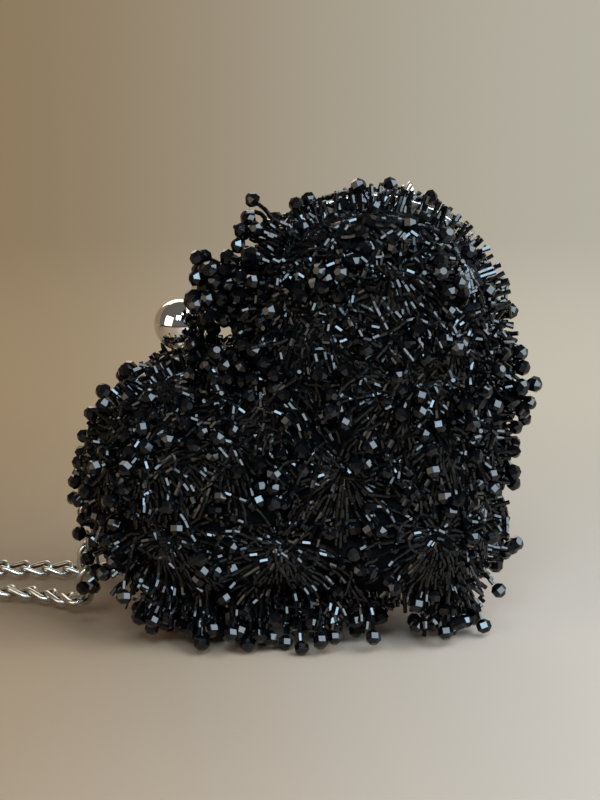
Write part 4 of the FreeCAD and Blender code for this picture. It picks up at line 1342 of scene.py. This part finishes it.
# The chain's route, which lies half a link's width above the floor, and its links
CHAIN_ROUTE = (
    (-0.07386, 0.0032, 0.0250), (-0.07386, 0.0032, 0.0160), (-0.0770, 0.0095, 0.0070),
    (-0.0845, 0.0185, 0.0044), (-0.0970, 0.0260, 0.0044), (-0.1180, 0.0290, 0.0044),
    (-0.1420, 0.0290, 0.0044), (-0.1600, 0.0340, 0.0044), (-0.1660, 0.0460, 0.0044),
    (-0.1560, 0.0570, 0.0044), (-0.1360, 0.0600, 0.0044), (-0.1080, 0.0575, 0.0044),
    (-0.0740, 0.0570, 0.0044), (-0.0360, 0.0540, 0.0044), (0.0000, 0.0535, 0.0044),
    (0.0250, 0.0500, 0.0044), (0.0370, 0.0470, 0.0100), (0.0410, 0.0455, 0.0260),
    (0.0420, 0.0440, 0.0560), (0.0424, 0.0436, 0.0920), (0.0424, 0.0430, 0.1200),
    (0.0425, 0.0400, 0.1360), (0.0427, 0.0309, 0.1507), (0.0427, 0.0228, 0.1547),
)
LINK_LENGTH = 0.0132
LINK_WIDTH = 0.0088
LINK_WIRE = 0.0022
LINK_COUNT = 57
LINK_TWIST = math.radians(84.0)
LINK_STEPS = 28
LINK_SIDES = 8
ROUTE_STEPS = 24
ROUTE_ORDER = 3


def route_line(points):
    """The smooth line of a route: a spline with the points as its control points."""
    curve = bpy.data.curves.new("route", "CURVE")
    curve.dimensions = "3D"
    curve.resolution_u = ROUTE_STEPS
    spline = curve.splines.new("NURBS")
    spline.points.add(len(points) - 1)
    for point, place in zip(spline.points, points):
        point.co = (*place, 1.0)
    spline.order_u = ROUTE_ORDER
    spline.use_endpoint_u = True
    return new_object("route", curve)


def line_points(holder):
    """Points of a line as it is drawn."""
    mesh = baked(holder)
    places = np.array([vertex.co[:] for vertex in mesh.vertices])
    bpy.data.meshes.remove(mesh)
    return places


def curb_link():
    """One link: a long ring of wire, twisted along its length so that the links lie flat."""
    half = (LINK_WIDTH - LINK_WIRE) / 2
    straight = LINK_LENGTH - LINK_WIRE - 2 * half
    turns = [2 * math.pi * side / LINK_SIDES for side in range(LINK_SIDES)]
    rows = []
    for step in range(LINK_STEPS):
        angle = 2 * math.pi * step / LINK_STEPS
        along = half * math.cos(angle) + math.copysign(straight / 2, math.cos(angle))
        centre = np.array((half * math.sin(angle), 0.0, along))
        outward = np.array((math.sin(angle), 0.0, math.cos(angle)))
        row = []
        for turn in turns:
            x, y, z = centre + LINK_WIRE / 2 * (math.cos(turn) * outward + math.sin(turn) * BACK)
            twist = LINK_TWIST * z / LINK_LENGTH
            row.append((
                x * math.cos(twist) - y * math.sin(twist),
                x * math.sin(twist) + y * math.cos(twist),
                z,
            ))
        rows.append(row)
    mesh = skin("curb_link", rows, looped=True)
    inner = mesh.attributes.new("inner_side", "FLOAT", "POINT")
    inner.data.foreach_set("value", [max(0.0, -math.cos(turn)) for turn in turns] * LINK_STEPS)
    return new_object("curb_link", mesh)


def chain_tree():
    """A route in, links out: links at even steps, each along the route."""
    web, given = new_tree("links on a route", {
        "Route": "Geometry", "Link": "Object", "Links": "Int", "Silver": "Material",
    }, "Chain")
    points = web.add("GeometryNodeCurveToPoints", {"mode": "COUNT"},
                     {"Curve": given["Route"], "Count": given["Links"]}, "Points")
    facing = Wire(web, points.socket.node.outputs["Rotation"])
    link = web.add("GeometryNodeObjectInfo", {}, {"Object": given["Link"]}, "Geometry")
    links = web.add("GeometryNodeInstanceOnPoints", {}, {
        "Points": points, "Instance": link, "Rotation": facing})
    return close_tree(web, links, given["Silver"], smooth=True)


class PURSE_OT_chain(Operator):
    """Lay the curb chain from the left ring round to the right one"""

    bl_idname = "purse.chain"
    bl_label = "Chain"

    def execute(self, context):
        silver = plated_metal("worn silver plate", colours().silver, polish=0.16, wear=0.5, grain=500.0)
        route = route_line(CHAIN_ROUTE)
        line = line_points(route)
        link = curb_link()
        mesh = grown("chain", route, chain_tree(), {"Link": link, "Links": LINK_COUNT, "Silver": silver})
        bpy.data.objects.remove(link)
        piece = mesh_object("chain", mesh, silver)
        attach(piece, "purse_body")
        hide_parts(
            "chain_left_drop", "chain_front_run", "chain_loop", "chain_rear_run", "chain_riser")
        for name in ("left_jump_ring", "left_round_ring", "right_jump_ring", "right_round_ring",
                     "left_chain_ear", "right_chain_ear"):
            paint_node(name, silver)
        return {"FINISHED"}


def paint_node(name, material):
    """Gives a CAD node its finish."""
    node = frame["nodes"][name]
    node.data.materials.clear()
    node.data.materials.append(material)


class PURSE_OT_metal(Operator):
    """Finish the frame, the hinge rivets and the clasp balls"""

    bl_idname = "purse.metal"
    bl_label = "Frame and Clasp"

    def execute(self, context):
        chrome = plated_metal("mirror chrome", colours().chrome, polish=0.025, wear=0.06, grain=300.0)
        nickel = plated_metal("polished nickel", colours().nickel, polish=0.12, wear=0.3, grain=700.0)
        paper = paper_cord()
        for side in ("front", "rear"):
            paint_node(side + "_ball", chrome)
            paint_node(side + "_ball_post", nickel)
            paint_node(side + "_frame", nickel)
            paint_node(side + "_packing_cord", paper)
        for hand in ("left", "right"):
            paint_node(hand + "_hinge_rivet", nickel)
        return {"FINISHED"}


STEPS = ("stage", "chain", "metal", "padding", "lining", "fringe")


class PURSE_PT_builder(Panel):
    """Lists the purse's sizes and pieces"""

    bl_idname = "PURSE_PT_builder"
    bl_label = "Heart Purse"
    bl_space_type = "VIEW_3D"
    bl_region_type = "UI"
    bl_category = "Purse"

    def draw(self, context):
        for group, kind in GROUPS:
            settings = getattr(context.scene, group)
            box = self.layout.box()
            for name in settings.__annotations__:
                box.prop(settings, name)
        for step in STEPS:
            self.layout.operator("purse." + step)


GROUPS = (
    ("purse_heart", HeartSizes), ("purse_beads", BeadSizes), ("purse_colours", FinishColours),
    ("purse_stage", StageSizes),
)
CLASSES = (
    PURSE_OT_stage, PURSE_OT_chain, PURSE_OT_metal, PURSE_OT_padding, PURSE_OT_lining, PURSE_OT_fringe,
    PURSE_PT_builder,
)


def register():
    for name, group in GROUPS:
        bpy.utils.register_class(group)
        setattr(bpy.types.Scene, name, PointerProperty(type=group))
    for made in CLASSES:
        bpy.utils.register_class(made)


def unregister():
    for made in reversed(CLASSES):
        bpy.utils.unregister_class(made)
    for name, group in reversed(GROUPS):
        delattr(bpy.types.Scene, name)
        bpy.utils.unregister_class(group)


def main():
    register()
    for step in STEPS:
        getattr(bpy.ops.purse, step)()


if __name__ == "__main__":
    main()
